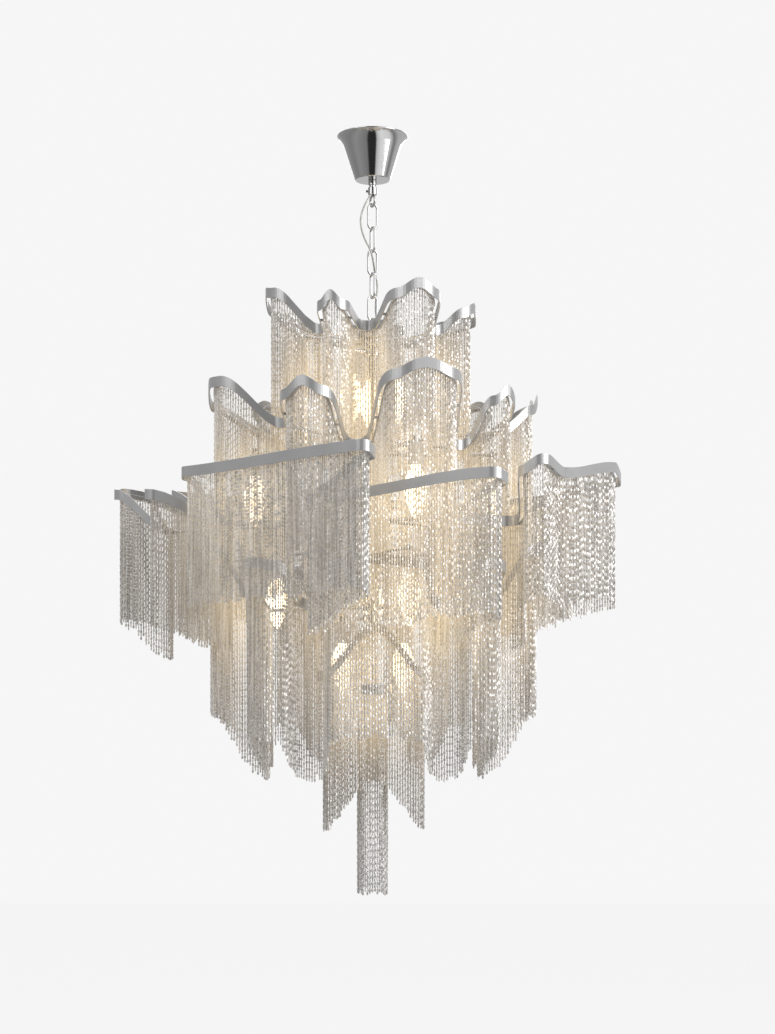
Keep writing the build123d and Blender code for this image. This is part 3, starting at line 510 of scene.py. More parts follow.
@dataclass(frozen=True)
class FloorPaint(Finish):
    """The pale studio floor. The camera sees it almost as pale as the background, with the object's shadow
    on it, and the metal doesn't mirror it."""
    colour: Colour = grey(0.88)
    low: Colour = grey(0.86)
    drift_scale: float = 0.6
    roughness: float = 0.9
    shown: float = 0.921
    share: float = 0.95

    def shade(self, bench: NodeBench) -> bpy.types.Node:
        """Plain matt paint with a faint drift.

        Args:
            bench: the material's nodes.

        Returns:
            The shader node.
        """
        drift = self.noise(bench, self.drift_scale)
        paint = bench.add("ShaderNodeBsdfPrincipled", None, {
            "Base Color": self.tone(bench, drift, self.low, self.colour), "Roughness": self.roughness})
        pale = bench.add("ShaderNodeEmission", None, {"Color": grey(self.shown)})
        rays = bench.add("ShaderNodeLightPath")
        seen = bench.add("ShaderNodeMixShader", None, {
            0: bench.value(rays, "Is Camera Ray") * self.share, 1: paint, 2: pale})
        clear = bench.add("ShaderNodeBsdfTransparent")
        return bench.add("ShaderNodeMixShader", None, {
            0: bench.value(rays, "Is Glossy Ray"), 1: seen, 2: clear})


@dataclass
class Station:
    """A point on a ribbon's outer top edge, in millimetres, with the outward side there. height is set
    where a bend or a crown fixes it, and valley numbers the lobe whose valley is centred there."""
    x: float
    y: float
    nx: float
    ny: float
    z: float = 0.0
    height: Optional[float] = None
    valley: int = -1

    def inside(self, setback: float, drop: float) -> Point:
        """The point inside the ribbon's outer top edge by a setback and below it by a drop."""
        return (self.x - setback * self.nx, self.y - setback * self.ny, self.z - drop)

    def along(self, shift: float) -> "Station":
        """The station moved along the ribbon."""
        return Station(self.x - shift * self.ny, self.y + shift * self.nx, self.nx, self.ny, self.z)


@dataclass(frozen=True)
class Obstacle:
    """A stretch between two points, in millimetres, that the strands make way for."""
    start: Point
    end: Point
    radius: float

    def foot(self, x: float, y: float, high: float, low: float) -> float:
        """How low an upright strand can hang because of this stretch.

        Args:
            x: the strand's place to the right.
            y: the strand's place to the back.
            high: the strand's top.
            low: where it would end with nothing in its way.

        Returns:
            Where it ends.
        """
        run_x, run_y = self.end[0] - self.start[0], self.end[1] - self.start[1]
        run = run_x ** 2 + run_y ** 2
        share = 0.0
        if run > 0.0:
            share = max(0.0, min(1.0, ((x - self.start[0]) * run_x + (y - self.start[1]) * run_y) / run))
        apart = hypot(x - self.start[0] - share * run_x, y - self.start[1] - share * run_y)
        if apart > self.radius + ChainLink.WIDTH / 2 + STRAND_CLEAR:
            return low
        top = max(self.start[2], self.end[2]) + self.radius
        bottom = min(self.start[2], self.end[2]) - self.radius
        return max(low, top + STRAND_CLEAR) if bottom < high and top > low else low


class ChainLink:
    """The size of one fine link, in millimetres."""
    WIDTH = 3.9
    THICK = 2.4
    LENGTH = 6.4
    PITCH = 5.2
    SIDES = 4
    RINGS = 3


@dataclass(frozen=True)
class Strand:
    """One hanging chain: its place in plan, its top and foot in millimetres, and its first link's bearing."""
    x: float
    y: float
    top: float
    foot: float
    bearing: float

    @classmethod
    def hung(cls, x: float, y: float, top: float, foot: float, bearing: float,
             dice: random.Random) -> "Strand":
        """A chain that starts a little higher than top, along the rail or square to it, by chance.

        Args:
            x: its place to the right.
            y: its place to the back.
            top: the lowest that its top may be.
            foot: its lower end.
            bearing: the rail's bearing there.
            dice: what decides.

        Returns:
            The chain.
        """
        return cls(x, y, top + RAIL_HIDES * dice.random(), foot, bearing + pi / 2 * dice.randrange(2))


@dataclass(frozen=True)
class Profile:
    """A bar's section with bevelled edges, placed from a ribbon's outer top edge, in millimetres."""
    setback: float
    sink: float
    width: float
    height: float
    edge: float

    def corners(self) -> list[tuple[float, float]]:
        """Lays out the section.

        Returns:
            Its corners, each as far inside the outer edge and as far below it.
        """
        width, height, edge = self.width, self.height, self.edge
        section = ((0.0, edge), (0.0, height - edge), (edge, height), (width - edge, height),
                   (width, height - edge), (width, edge), (width - edge, 0.0), (edge, 0.0))
        return [(self.setback + across, self.sink + down) for across, down in section]


RIBBON_PROFILE = Profile(0.0, 0.0, RIBBON_THICK, RIBBON_HEIGHT, RIBBON_EDGE)
RAIL_PROFILE = Profile(RAIL_SETBACK, RAIL_SINK, RAIL_WIDTH, RAIL_HEIGHT, RAIL_EDGE)


def ragged(dice: random.Random) -> float:
    """How far a chain hangs short of the longest: mostly a little."""
    return STRAND_RAGGED * dice.random() ** 2


def ring_faces(rings: int, sides: int, closed: bool = False, turned: bool = False) -> list[tuple[int, ...]]:
    """The faces between rings of points that follow one another.

    Args:
        rings: how many rings there are.
        sides: how many points each has.
        closed: whether the last ring joins the first. Otherwise each of them is capped.
        turned: whether the points run the other way round, so that the faces are turned to point outwards.

    Returns:
        The faces, as numbers of points.
    """
    faces = []
    if not closed:
        first, last = tuple(range(sides)), tuple(range((rings - 1) * sides, rings * sides))
        faces = [first, last[::-1]] if turned else [first[::-1], last]
    for ring in range(rings if closed else rings - 1):
        here, after = ring * sides, (ring + 1) % rings * sides
        for side in range(sides):
            beside = (side + 1) % sides
            if turned:
                faces.append((here + side, after + side, after + beside, here + beside))
            else:
                faces.append((here + side, here + beside, after + beside, after + side))
    return faces


def mesh_piece(name: str, points: Iterable[Point], faces: Iterable[Sequence[int]], finish: Finish,
               smooth: bool = False) -> bpy.types.Object:
    """Makes a piece.

    Args:
        name: the piece's name.
        points: its corners, in millimetres.
        faces: its faces, as numbers of corners, that point outwards.
        finish: its finish.
        smooth: whether its faces are shaded smoothly.

    Returns:
        The piece, at the origin.
    """
    mesh = bpy.data.meshes.new(name)
    places = [tuple(c * MM for c in point) for point in points]
    mesh.from_pydata(places, [], [tuple(face) for face in faces])
    mesh.materials.append(finish.material())
    mesh.polygons.foreach_set("use_smooth", [smooth] * len(mesh.polygons))
    mesh.update()
    piece = bpy.data.objects.new(name, mesh)
    bpy.context.scene.collection.objects.link(piece)
    return piece


def settle(piece: bpy.types.Object, slot: Slot, *nodes: str) -> None:
    """Lets a finished piece ride on the hanging body, and reports it.

    Args:
        piece: the piece.
        slot: not used.
        nodes: the nodes that it stands for.
    """
    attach(piece, Body.HANGING.value)
    if nodes:
        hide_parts(*nodes)
    LOG.info("%s: %d faces", piece.name, len(piece.data.polygons))


@dataclass
class Tier:
    """One wavy ribbon with its rail and fringe. A lobe is its bends in plan, the last one being the valley
    beside it, each as right, back and rise above the tier's level, in millimetres."""
    name: str
    level: float
    chain: float
    tip_radius: float
    valley_radius: float
    arch: float
    lobes: tuple
    groups: tuple[int, ...]

    def outline(self, arc_step: float = FINE_ARC, run_step: float = FINE_RUN) -> list[Station]:
        """Stations all the way round the tier.

        Args:
            arc_step: degrees of bend between two stations.
            run_step: the longest step on a straight run.

        Returns:
            The stations, from the first tip of the first lobe.
        """
        corners, crowns = [], {}
        for number, lobe in enumerate(self.lobes):
            tips = lobe[:-1]
            if len(tips) == 2:
                crowns[len(corners)] = (tips[0][2] + tips[1][2]) / 2 + self.arch
            corners += [(tip, self.tip_radius, -1) for tip in tips]
            corners.append((lobe[-1], self.valley_radius, number))
        arcs = []
        for index, (bend, radius, valley) in enumerate(corners):
            after = corners[(index + 1) % len(corners)][0]
            arc = self.bend_arc(corners[index - 1][0], bend, after, radius, arc_step)
            arc[len(arc) // 2].height = bend[2]
            arc[len(arc) // 2].valley = valley
            arcs.append(arc)
        stations = []
        for index, arc in enumerate(arcs):
            after = arcs[(index + 1) % len(arcs)][0]
            stations += arc + self.straight_run(arc[-1], after, crowns.get(index), run_step)
        self.ease_heights(stations, HUB_TOP + self.level)
        return stations

    @staticmethod
    def bend_arc(before: Sequence[float], bend: Sequence[float], after: Sequence[float], radius: float,
                 arc_step: float) -> list[Station]:
        """Rounds one bend, as large as the runs beside it allow.

        Args:
            before: the bend before it.
            bend: the bend.
            after: the bend after it.
            radius: its radius.
            arc_step: degrees of bend between two stations, about.

        Returns:
            An odd number of stations, so that one is in the bend's middle.
        """
        in_x, in_y = before[0] - bend[0], before[1] - bend[1]
        out_x, out_y = after[0] - bend[0], after[1] - bend[1]
        in_run, out_run = hypot(in_x, in_y), hypot(out_x, out_y)
        in_x, in_y, out_x, out_y = in_x / in_run, in_y / in_run, out_x / out_run, out_y / out_run
        turn = pi - acos(in_x * out_x + in_y * out_y)
        reach = min(radius * tan(turn / 2), RUN_SHARE * in_run, RUN_SHARE * out_run)
        radius = reach / tan(turn / 2)
        away = hypot(reach, radius) / hypot(in_x + out_x, in_y + out_y)
        centre_x, centre_y = bend[0] + (in_x + out_x) * away, bend[1] + (in_y + out_y) * away
        start = atan2(bend[1] + in_y * reach - centre_y, bend[0] + in_x * reach - centre_x)
        sense = 1 if in_y * out_x > in_x * out_y else -1
        steps = 2 * max(1, round(degrees(turn) / arc_step / 2))
        arc = []
        for step in range(steps + 1):
            angle = start + sense * turn * step / steps
            arc.append(Station(centre_x + radius * cos(angle), centre_y + radius * sin(angle),
                               sense * cos(angle), sense * sin(angle)))
        return arc

    @staticmethod
    def straight_run(start: Station, end: Station, crown: Optional[float], run_step: float) -> list[Station]:
        """The stations between two bends.

        Args:
            start: the end of the bend before.
            end: the start of the bend after.
            crown: the height in the middle, where it is set.
            run_step: the longest step.

        Returns:
            The stations, without start and end.
        """
        parts = ceil(hypot(end.x - start.x, end.y - start.y) / run_step)
        if crown is not None:
            parts = 2 * ceil(parts / 2)
        run = []
        for part in range(1, parts):
            share = part / parts
            run.append(Station(start.x + share * (end.x - start.x), start.y + share * (end.y - start.y),
                               start.nx, start.ny))
        if crown is not None:
            run[parts // 2 - 1].height = crown
        return run

    @staticmethod
    def ease_heights(stations: list[Station], base: float) -> None:
        """Lets the ribbon rise and fall smoothly between the heights that are set.

        Args:
            stations: all the stations, which get their heights.
            base: what the set heights are measured from.
        """
        places, place = [], 0.0
        for here, after in zip(stations, stations[1:] + stations[:1]):
            places.append(place)
            place += hypot(after.x - here.x, after.y - here.y)
        knots = [(at, s.height) for at, s in zip(places, stations) if s.height is not None]
        knots = [(knots[-1][0] - place, knots[-1][1])] + knots + [(knots[0][0] + place, knots[0][1])]
        for at, station in zip(places, stations):
            low, high = next((a, b) for a, b in zip(knots, knots[1:]) if a[0] <= at <= b[0])
            ease = (1 - cos(pi * (at - low[0]) / (high[0] - low[0]))) / 2
            station.z = base + low[1] + (high[1] - low[1]) * ease

    @staticmethod
    def band(name: str, stations: list[Station], profile: Profile, steel: Finish) -> bpy.types.Object:
        """A bar bent through the stations, whose two ends are closed.

        Args:
            name: the piece's name.
            stations: where it runs.
            profile: its section.
            steel: its finish.

        Returns:
            The piece.
        """
        section = profile.corners()
        points = [s.inside(across, down) for s in stations for across, down in section]
        return mesh_piece(name, points, ring_faces(len(stations), len(section), turned=True), steel)

    def stretches(self, stations: list[Station]) -> list[list[Station]]:
        """Divides the rail.

        Args:
            stations: the stations all the way round.

        Returns:
            The rail's stretches, each from the middle of one valley to that of another.
        """
        valleys = [index for index, station in enumerate(stations) if station.valley >= 0]
        first = valleys[-1]
        turned = stations[first:] + stations[:first + 1]
        ends = [0] + [index + len(stations) - first for index in valleys]
        found, lobe = [], 0
        for count in self.groups:
            found.append(turned[ends[lobe]:ends[lobe + count] + 1])
            lobe += count
        return found

    def strands(self, stretch: list[Station], obstacles: list[Obstacle],
                dice: random.Random) -> list[Strand]:
        """The chains of one stretch of rail, cut short above what lies in their way.

        Args:
            stretch: the rail's stations.
            obstacles: what may lie in their way.
            dice: what makes them uneven.

        Returns:
            The chains.
        """
        line = [s.inside(RAIL_SETBACK + RAIL_WIDTH / 2, RAIL_SINK + RAIL_HEIGHT - STRAND_HEAD)
                for s in stretch]
        total = sum(hypot(b[0] - a[0], b[1] - a[1]) for a, b in zip(line, line[1:]))
        count = int(total / STRAND_PITCH)
        low = min(point[2] for point in line) - self.chain
        near = [o for o in obstacles if max(o.start[2], o.end[2]) + o.radius > low]
        found, at, part = [], 0.0, 0
        for number in range(count):
            place = total * (number + 0.5) / count
            while True:
                a, b = line[part], line[part + 1]
                length = hypot(b[0] - a[0], b[1] - a[1])
                if place <= at + length or part == len(line) - 2:
                    break
                at += length
                part += 1
            share = (place - at) / length
            x, y, z = (p + share * (q - p) for p, q in zip(a, b))
            foot = z - self.chain + ragged(dice)
            for obstacle in near:
                foot = obstacle.foot(x, y, z, foot)
            if z - foot > STRAND_SHORTEST:
                found.append(Strand.hung(x, y, z, foot, atan2(b[1] - a[1], b[0] - a[0]), dice))
        return found

    def as_obstacles(self) -> list[Obstacle]:
        """The tier as it lies in the way of the strands above.

        Returns:
            Its ribbon and its rail.
        """
        stations = self.outline(COARSE_ARC, COARSE_RUN)
        middle = (RAIL_SETBACK + RAIL_WIDTH) / 2
        return [Obstacle(a.inside(middle, RIBBON_HEIGHT / 2), b.inside(middle, RIBBON_HEIGHT / 2), middle)
                for a, b in zip(stations, stations[1:] + stations[:1])]

    def build(self, fringe: "Fringe", steel: Finish, obstacles: list[Obstacle], dice: random.Random) -> None:
        """Makes the ribbon, the rail and the fringe of the tier.

        Args:
            fringe: what hangs the chains.
            steel: the ribbon's and the rail's finish.
            obstacles: what the chains make way for.
            dice: what makes them uneven.
        """
        stations = self.outline()
        ribbon = self.band(f"wavy_ribbon_{self.name}", stations + [stations[0].along(-RIBBON_JOINT)],
                           RIBBON_PROFILE, steel)
        settle(ribbon, Slot.RIBBON, f"ribbon_{self.name}")
        for letter, stretch in zip("abcd", self.stretches(stations)):
            rail = self.band(f"fringe_rail_{self.name}_{letter}", stretch, RAIL_PROFILE, steel)
            settle(rail, Slot.RIBBON)
            strands = self.strands(stretch, obstacles, dice)
            chain = fringe.hang(f"chain_fringe_{self.name}_{letter}", strands)
            settle(chain, Slot.CHAIN, f"curtain_{self.name}_{letter}")


@dataclass
class Fringe:
    """Fine chain, made by one geometry tree from the tops of its strands. Sway is how far a link turns from
    its strand's bearing by chance, in radians."""
    finish: Finish
    seed: int = 11
    sway: float = 0.35
    RANDOM_FLOAT = 1    # the Random Value node's output for numbers

    def __post_init__(self) -> None:
        """Builds the tree once."""
        self.tree = bpy.data.node_groups.new("hang_chain", "GeometryNodeTree")
        self.inputs: dict[str, str] = {}
        bench = NodeBench(self.tree)
        self._declare("Geometry", "NodeSocketGeometry", "INPUT")
        for name in ("Link width", "Link thickness", "Link length", "Link pitch", "Turn scatter"):
            self._declare(name, "NodeSocketFloat", "INPUT")
        self._declare("Seed", "NodeSocketInt", "INPUT")
        self._declare("Finish", "NodeSocketMaterial", "INPUT")
        self._declare("Geometry", "NodeSocketGeometry", "OUTPUT")
        given = bench.add("NodeGroupInput").outputs
        pitch = Signal(bench, given["Link pitch"])
        drop = bench.add("GeometryNodeInputNamedAttribute", {"data_type": "FLOAT"}, {"Name": "drop"})
        bearing = bench.add("GeometryNodeInputNamedAttribute", {"data_type": "FLOAT"}, {"Name": "bearing"})
        links = bench.add("GeometryNodeDuplicateElements", {"domain": "POINT"}, {
            "Geometry": bench.add("GeometryNodeMeshToPoints", None, {"Mesh": given["Geometry"]}),
            "Amount": bench.math("FLOOR", bench.value(drop) / pitch)})
        index = Signal(bench, links.outputs["Duplicate Index"])
        fall = bench.add("ShaderNodeCombineXYZ", None, {"Z": (index + 0.5) * pitch * -1.0})
        placed = bench.add("GeometryNodeSetPosition", None, {"Geometry": links.outputs[0], "Offset": fall})
        quarter = index % 2.0 * (pi / 2)
        scatter = bench.add("FunctionNodeRandomValue", {"data_type": "FLOAT"}, {
            "Min": -1.0, "Max": 1.0, "Seed": given["Seed"]})
        chance = bench.value(scatter, self.RANDOM_FLOAT) * Signal(bench, given["Turn scatter"])
        turn = bench.value(bearing) + quarter + chance
        bead = bench.add("GeometryNodeMeshUVSphere", None, {
            "Segments": ChainLink.SIDES, "Rings": ChainLink.RINGS, "Radius": 0.5})
        size = bench.add("ShaderNodeCombineXYZ", None, {
            "X": given["Link width"], "Y": given["Link thickness"], "Z": given["Link length"]})
        link = bench.add("GeometryNodeTransform", None, {"Geometry": bead, "Scale": size})
        strands = bench.add("GeometryNodeInstanceOnPoints", None, {
            "Points": placed, "Instance": link,
            "Rotation": bench.add("ShaderNodeCombineXYZ", None, {"Z": turn})})
        solid = bench.add("GeometryNodeRealizeInstances", None, {"Geometry": strands})
        done = bench.add("GeometryNodeSetMaterial", None, {"Geometry": solid, "Material": given["Finish"]})
        bench.add("NodeGroupOutput", None, {"Geometry": done})

    def _declare(self, name: str, kind: str, way: str) -> None:
        """Adds an input or output to the tree, and keeps an input's identifier.

        Args:
            name: its name.
            kind: its socket type.
            way: INPUT or OUTPUT.
        """
        socket = self.tree.interface.new_socket(name=name, in_out=way, socket_type=kind)
        if way == "INPUT":
            self.inputs[name] = socket.identifier

    def hang(self, name: str, strands: Sequence[Strand]) -> bpy.types.Object:
        """Hangs the strands.

        Args:
            name: the piece's name.
            strands: the chains, in millimetres.

        Returns:
            The piece, as a plain mesh at the origin.
        """
        seeds = bpy.data.meshes.new(f"{name}_tops")
        seeds.from_pydata([(s.x * MM, s.y * MM, s.top * MM) for s in strands], [], [])
        for word, values in (("drop", [(s.top - s.foot) * MM for s in strands]),
                             ("bearing", [s.bearing for s in strands])):
            seeds.attributes.new(word, "FLOAT", "POINT").data.foreach_set("value", values)
        carrier = bpy.data.objects.new(f"{name}_tops", seeds)
        bpy.context.scene.collection.objects.link(carrier)
        modifier = carrier.modifiers.new(self.tree.name, "NODES")
        modifier.node_group = self.tree
        sizes = {"Link width": ChainLink.WIDTH * MM, "Link thickness": ChainLink.THICK * MM,
                 "Link length": ChainLink.LENGTH * MM, "Link pitch": ChainLink.PITCH * MM,
                 "Turn scatter": self.sway, "Seed": self.seed, "Finish": self.finish.material()}
        for word, value in sizes.items():
            modifier[self.inputs[word]] = value
        ready = carrier.evaluated_get(bpy.context.evaluated_depsgraph_get())
        mesh = bpy.data.meshes.new_from_object(ready)
        mesh.name = name
        piece = bpy.data.objects.new(name, mesh)
        bpy.context.scene.collection.objects.link(piece)
        carrier.modifiers.clear()
        bpy.data.objects.remove(carrier)
        return piece


TIERS = (
    Tier("tier_1", 41.5, 210.0, 38.0, 14.0, 14.0, (
        ((60, 160, -3), (-45, 162, -3), (-40, 60, -35)),
        ((-115, 140, -3), (-165, 80, -3), (-85, 15, -35)),
        ((-172, 20, 0), (-162, -46, 20), (-74, -42, -38)),
        ((-86, -128, -17), (-40, -138, -17), (-8, -42, -38)),
        ((32, -163, -4), (110, -140, -2), (90, -48, -42)),
        ((146, -58, -14), (170, -15, -22), (88, 28, -35)),
        ((168, 55, -3), (120, 135, -3), (42, 62, -35)),
    ), (2, 2, 2, 1)),
    Tier("tier_2", -98.5, 240.0, 48.0, 18.0, 16.0, (
        ((70, 245, 0), (-70, 245, 0), (-60, 110, -70)),
        ((-140, 205, 0), (-215, 130, 0), (-140, 45, -60)),
        ((-264, -8, -14), (-240, -88, 16), (-130, -88, -50)),
        ((-140, -190, -20), (-64, -215, -18), (-22, -110, -90)),
        ((22, -245, 0), (138, -222, 4), (122, -70, -84)),
        ((184, -128, -20), (228, -92, -18), (196, -52, -54)),
        ((258, -22, -18), (262, 40, -12), (140, 55, -60)),
        ((215, 140, 0), (130, 215, 0), (60, 110, -70)),
    ), (2, 2, 2, 2)),
    Tier("tier_3", -228.5, 200.0, 20.0, 14.0, 0.0, (
        ((105, 350, 0), (-85, 345, 0), (-108, 185, -50)),
        ((-195, 300, -5), (-340, 140, -5), (-240, 55, -50)),
        ((-398, 40, -14), (-410, -12, -20), (-300, -32, -78)),
        ((-352, -50, -24), (-347, -82, -27), (-172, -50, -67)),
        ((-290, -86, 0), (-287, -122, 2), (-6, -362, 12), (10, -322, 4), (-112, -190, -44)),
        ((182, -276, -16), (202, -244, -24), (96, -128, -68)),
        ((226, -96, -70), (216, -150, 0), (258, -170, 17), (292, -109, 3), (380, -20, 21), (398, 18, 2),
         (190, 50, -40)),
        ((345, 150, -5), (205, 310, -5), (122, 185, -50)),
    ), (2, 2, 2, 2)),
    Tier("tier_4", -354.0, 262.0, 36.0, 18.0, 6.0, (
        ((70, 250, 0), (-70, 250, 0), (-65, 130, -60)),
        ((-130, 215, 0), (-225, 140, 0), (-160, 55, -60)),
        ((-264, 15, 20), (-258, -60, 20), (-155, -52, -75)),
        ((-205, -150, -18), (-140, -205, -18), (-84, -110, -75)),
        ((-70, -198, -15), (82, -198, -15), (106, -118, -75)),
        ((152, -200, -18), (210, -145, -18), (158, -50, -75)),
        ((262, -60, 18), (266, 15, 18), (160, 55, -60)),
        ((225, 140, 0), (130, 215, 0), (65, 130, -60)),
    ), (2, 2, 2, 2)),
    Tier("tier_5", -528.5, 240.0, 24.0, 14.0, 0.0, (
        ((-86, 44, -4), (-86, -44, -4), (4, -36, 72)),
        ((90, -44, 0), (90, 44, -2), (4, 36, 72)),
    ), (1, 1)),
)


@dataclass(frozen=True)
class LampLevel:
    """A level of lamps: its height below the hub and each lamp's distance and bearing, in millimetres."""
    level: float
    places: tuple


@dataclass
class Lamps:
    """The lit lamps, their holders and their arms."""
    levels: tuple[LampLevel, ...] = (
        LampLevel(-33.0, ((40.0, 215.0), (40.0, 335.0), (40.0, 95.0))),
        LampLevel(-193.0, ((185.0, 191.0), (190.0, 290.0), (190.0, 2.0), (190.0, 90.0))),
        LampLevel(-350.0, ((150.0, 185.0), (150.0, 292.0), (150.0, 5.0), (150.0, 90.0))),
        LampLevel(-451.0, ((48.0, 180.0), (48.0, 0.0))),
    )
    arm_radius: float = 3.0
    holder_radius: float = 12.0
    holder_low: float = 38.5
    bulb_radius: float = 17.5
    bulb_low: float = 117.0

    def places(self) -> list[Point]:
        """Where each lamp's arm ends, in millimetres."""
        return [(radius * cos(radians(bearing)), radius * sin(radians(bearing)), HUB_TOP + lamps.level)
                for lamps in self.levels for radius, bearing in lamps.places]

    def glows(self) -> tuple[Point, ...]:
        """The middle of each lamp's light, in metres, where the chain's painted glow is centred."""
        middle = (self.holder_low + self.bulb_low) / 2
        return tuple((x * MM, y * MM, (z - middle) * MM) for x, y, z in self.places())

    def as_obstacles(self) -> list[Obstacle]:
        """The lamps as they lie in the way of the strands.

        Returns:
            The arms, the holders and the lamps.
        """
        found = []
        for x, y, z in self.places():
            found.append(Obstacle((0.0, 0.0, z), (x, y, z), self.arm_radius))
            found.append(Obstacle((x, y, z), (x, y, z - self.holder_low), self.holder_radius))
            found.append(Obstacle((x, y, z - self.holder_low), (x, y, z - self.bulb_low), self.bulb_radius))
        return found


@dataclass
class Column:
    """The chain round the foot of the column, in millimetres."""
    ring_radius: float = 33.0
    ring_level: float = -554.0
    ring_sides: int = 72
    chain: float = 318.0

    def build(self, fringe: Fringe, dice: random.Random, steel: Finish) -> None:
        """Makes the column's rail and the chain that hangs from it.

        Args:
            fringe: what hangs the chains.
            dice: what makes them uneven.
            steel: the rail's finish.
        """
        top = HUB_TOP + self.ring_level - RAIL_SINK - RAIL_HEIGHT + STRAND_HEAD
        reach = self.ring_radius - RAIL_SETBACK - RAIL_WIDTH / 2
        count = floor(2 * pi * reach / COLUMN_PITCH)
        strands = []
        for number in range(count):
            angle = 2 * pi * number / count
            foot = top - self.chain + ragged(dice)
            strands.append(Strand.hung(reach * cos(angle), reach * sin(angle), top, foot, angle, dice))
        settle(fringe.hang("chain_fringe_column", strands), Slot.CHAIN, "column_curtain")
        self.ring_rail(steel)

    def ring_rail(self, steel: Finish) -> None:
        """Makes the round rail that the chain hangs from.

        Args:
            steel: the rail's finish.
        """
        section = RAIL_PROFILE.corners()
        points = []
        for step in range(self.ring_sides):
            angle = 2 * pi * step / self.ring_sides
            for inward, down in section:
                reach = self.ring_radius - inward
                points.append((reach * cos(angle), reach * sin(angle), HUB_TOP + self.ring_level - down))
        faces = ring_faces(self.ring_sides, len(section), closed=True)
        settle(mesh_piece("fringe_rail_column", points, faces, steel), Slot.RIBBON)


@dataclass
class SupplyCord:
    """The cord from the loop's collar down through the chain's links to the hub's gland, in metres. Its
    stretches are cut where the model's are. hold is not used."""
    diameter: float = 0.003
    sides: int = 14
    smooth_steps: int = 24
    route: tuple[Point, ...] = (
        (-0.0017, -0.0047, -0.0920), (-0.0095, -0.0090, -0.1040), (-0.0190, -0.0070, -0.1270),
        (-0.0180, -0.0060, -0.1470), (-0.0115, -0.0085, -0.1660), (-0.0028, -0.0096, -0.1810),
        (0.0012, -0.0012, -0.1970), (0.0034, 0.0098, -0.2125), (0.0083, 0.0105, -0.2320),
        (0.0052, 0.0101, -0.2550), (0.0046, 0.0107, -0.2760), (0.0086, 0.0090, -0.3022))
    cuts: tuple[float, ...] = (-0.0930, -0.1286, -0.1645, -0.2005, -0.2365, -0.2715, -0.3022)
    hold: float = 0.004
    same_place: float = 1e-6

    def line(self) -> list[Vector]:
        """Reads the cord's smooth line from a spline.

        Returns:
            Points along it, from the top.
        """
        curve = bpy.data.curves.new("cord_route", "CURVE")
        curve.dimensions = "3D"
        curve.resolution_u = self.smooth_steps
        spline = curve.splines.new("NURBS")
        spline.points.add(len(self.route) - 1)
        for point, place in zip(spline.points, self.route):
            point.co = (*place, 1.0)
        spline.order_u = 3
        spline.use_endpoint_u = True
        holder = bpy.data.objects.new("cord_route", curve)
        bpy.context.scene.collection.objects.link(holder)
        ready = holder.evaluated_get(bpy.context.evaluated_depsgraph_get())
        mesh = bpy.data.meshes.new_from_object(ready)
        points = [vertex.co.copy() for vertex in mesh.vertices]
        bpy.data.objects.remove(holder)
        bpy.data.meshes.remove(mesh)
        return points

    def between(self, line: list[Vector], high: float, low: float) -> list[Vector]:
        """Cuts a part out of the line.

        Args:
            line: the whole line, from the top.
            high: the height of the part's upper end.
            low: the height of its lower end.

        Returns:
            The part, with its ends exactly at those heights.
        """
        part = []
        for here, after in zip(line, line[1:]):
            for height in (high, low):
                if here.z > height > after.z:
                    part.append(here.lerp(after, (here.z - height) / (here.z - after.z)))
            if high > after.z > low:
                part.append(after)
        if high >= line[0].z:
            part.insert(0, line[0])
        if low <= line[-1].z and (part[-1] - line[-1]).length > self.same_place:
            part.append(line[-1])
        part.sort(key=lambda point: -point.z)
        return part

    def tube(self, name: str, path: list[Vector], finish: Finish) -> bpy.types.Object:
        """A tube with closed ends.

        Args:
            name: the piece's name.
            path: the line that it follows, from the top.
            finish: its finish.

        Returns:
            The piece.
        """
        radius = self.diameter / 2
        points = []
        side = Vector((1.0, 0.0, 0.0))
        for index, place in enumerate(path):
            ahead = (path[min(index + 1, len(path) - 1)] - path[max(index - 1, 0)]).normalized()
            across = (side - side.dot(ahead) * ahead).normalized()
            other = ahead.cross(across)
            for k in range(self.sides):
                angle = 2 * pi * k / self.sides
                point = place + radius * (cos(angle) * across + sin(angle) * other)
                points.append(tuple(c / MM for c in point))
            side = across
        return mesh_piece(name, points, ring_faces(len(path), self.sides), finish, smooth=True)

    def build(self, finish: Finish) -> None:
        """Makes the cord's six stretches in place of the model's, and logs each one's length and the two
        bodies it runs between.

        Args:
            finish: the cord's finish.
        """
        line = self.line()
        links = [joint["child"] for joint in frame["joints"]
                 if joint["child"].startswith("link") or joint["child"] == Body.HANGING.value]
        bodies = [Body.FIXING.value] + links
        for number, (high, low) in enumerate(zip(self.cuts, self.cuts[1:])):
            path = self.between(line, high, low)
            piece = self.tube(f"supply_cord_{number + 1}", path, finish)
            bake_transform(piece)
            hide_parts(f"cord_{number + 1}")
            length = sum((b - a).length for a, b in zip(path, path[1:]))
            LOG.info("%s: %.1f mm between %s and %s", piece.name, length / MM, bodies[number],
                     bodies[number + 1])


@dataclass
class Carried:
    """The model's own nodes that stay, each with its finish."""
    chrome: Finish
    dark_chrome: Finish
    zinc: Finish
    steel: Finish
    holder: Finish
    bulb: Finish
    terminal: Finish

    def dress(self) -> None:
        """Puts each node's finish in its material slots."""
        finishes = {
            "ceiling_bracket": self.zinc, "bracket_nuts": self.zinc, "terminal_block": self.terminal,
            "lamp_holders": self.holder, "bulbs": self.bulb, "column_band": self.steel,
            "rail_spacers": self.steel, "canopy_cup": self.dark_chrome}
        for name, node in frame["nodes"].items():
            finish = finishes.get(name, self.chrome)
            for slot in node.material_slots:
                slot.material = finish.material()


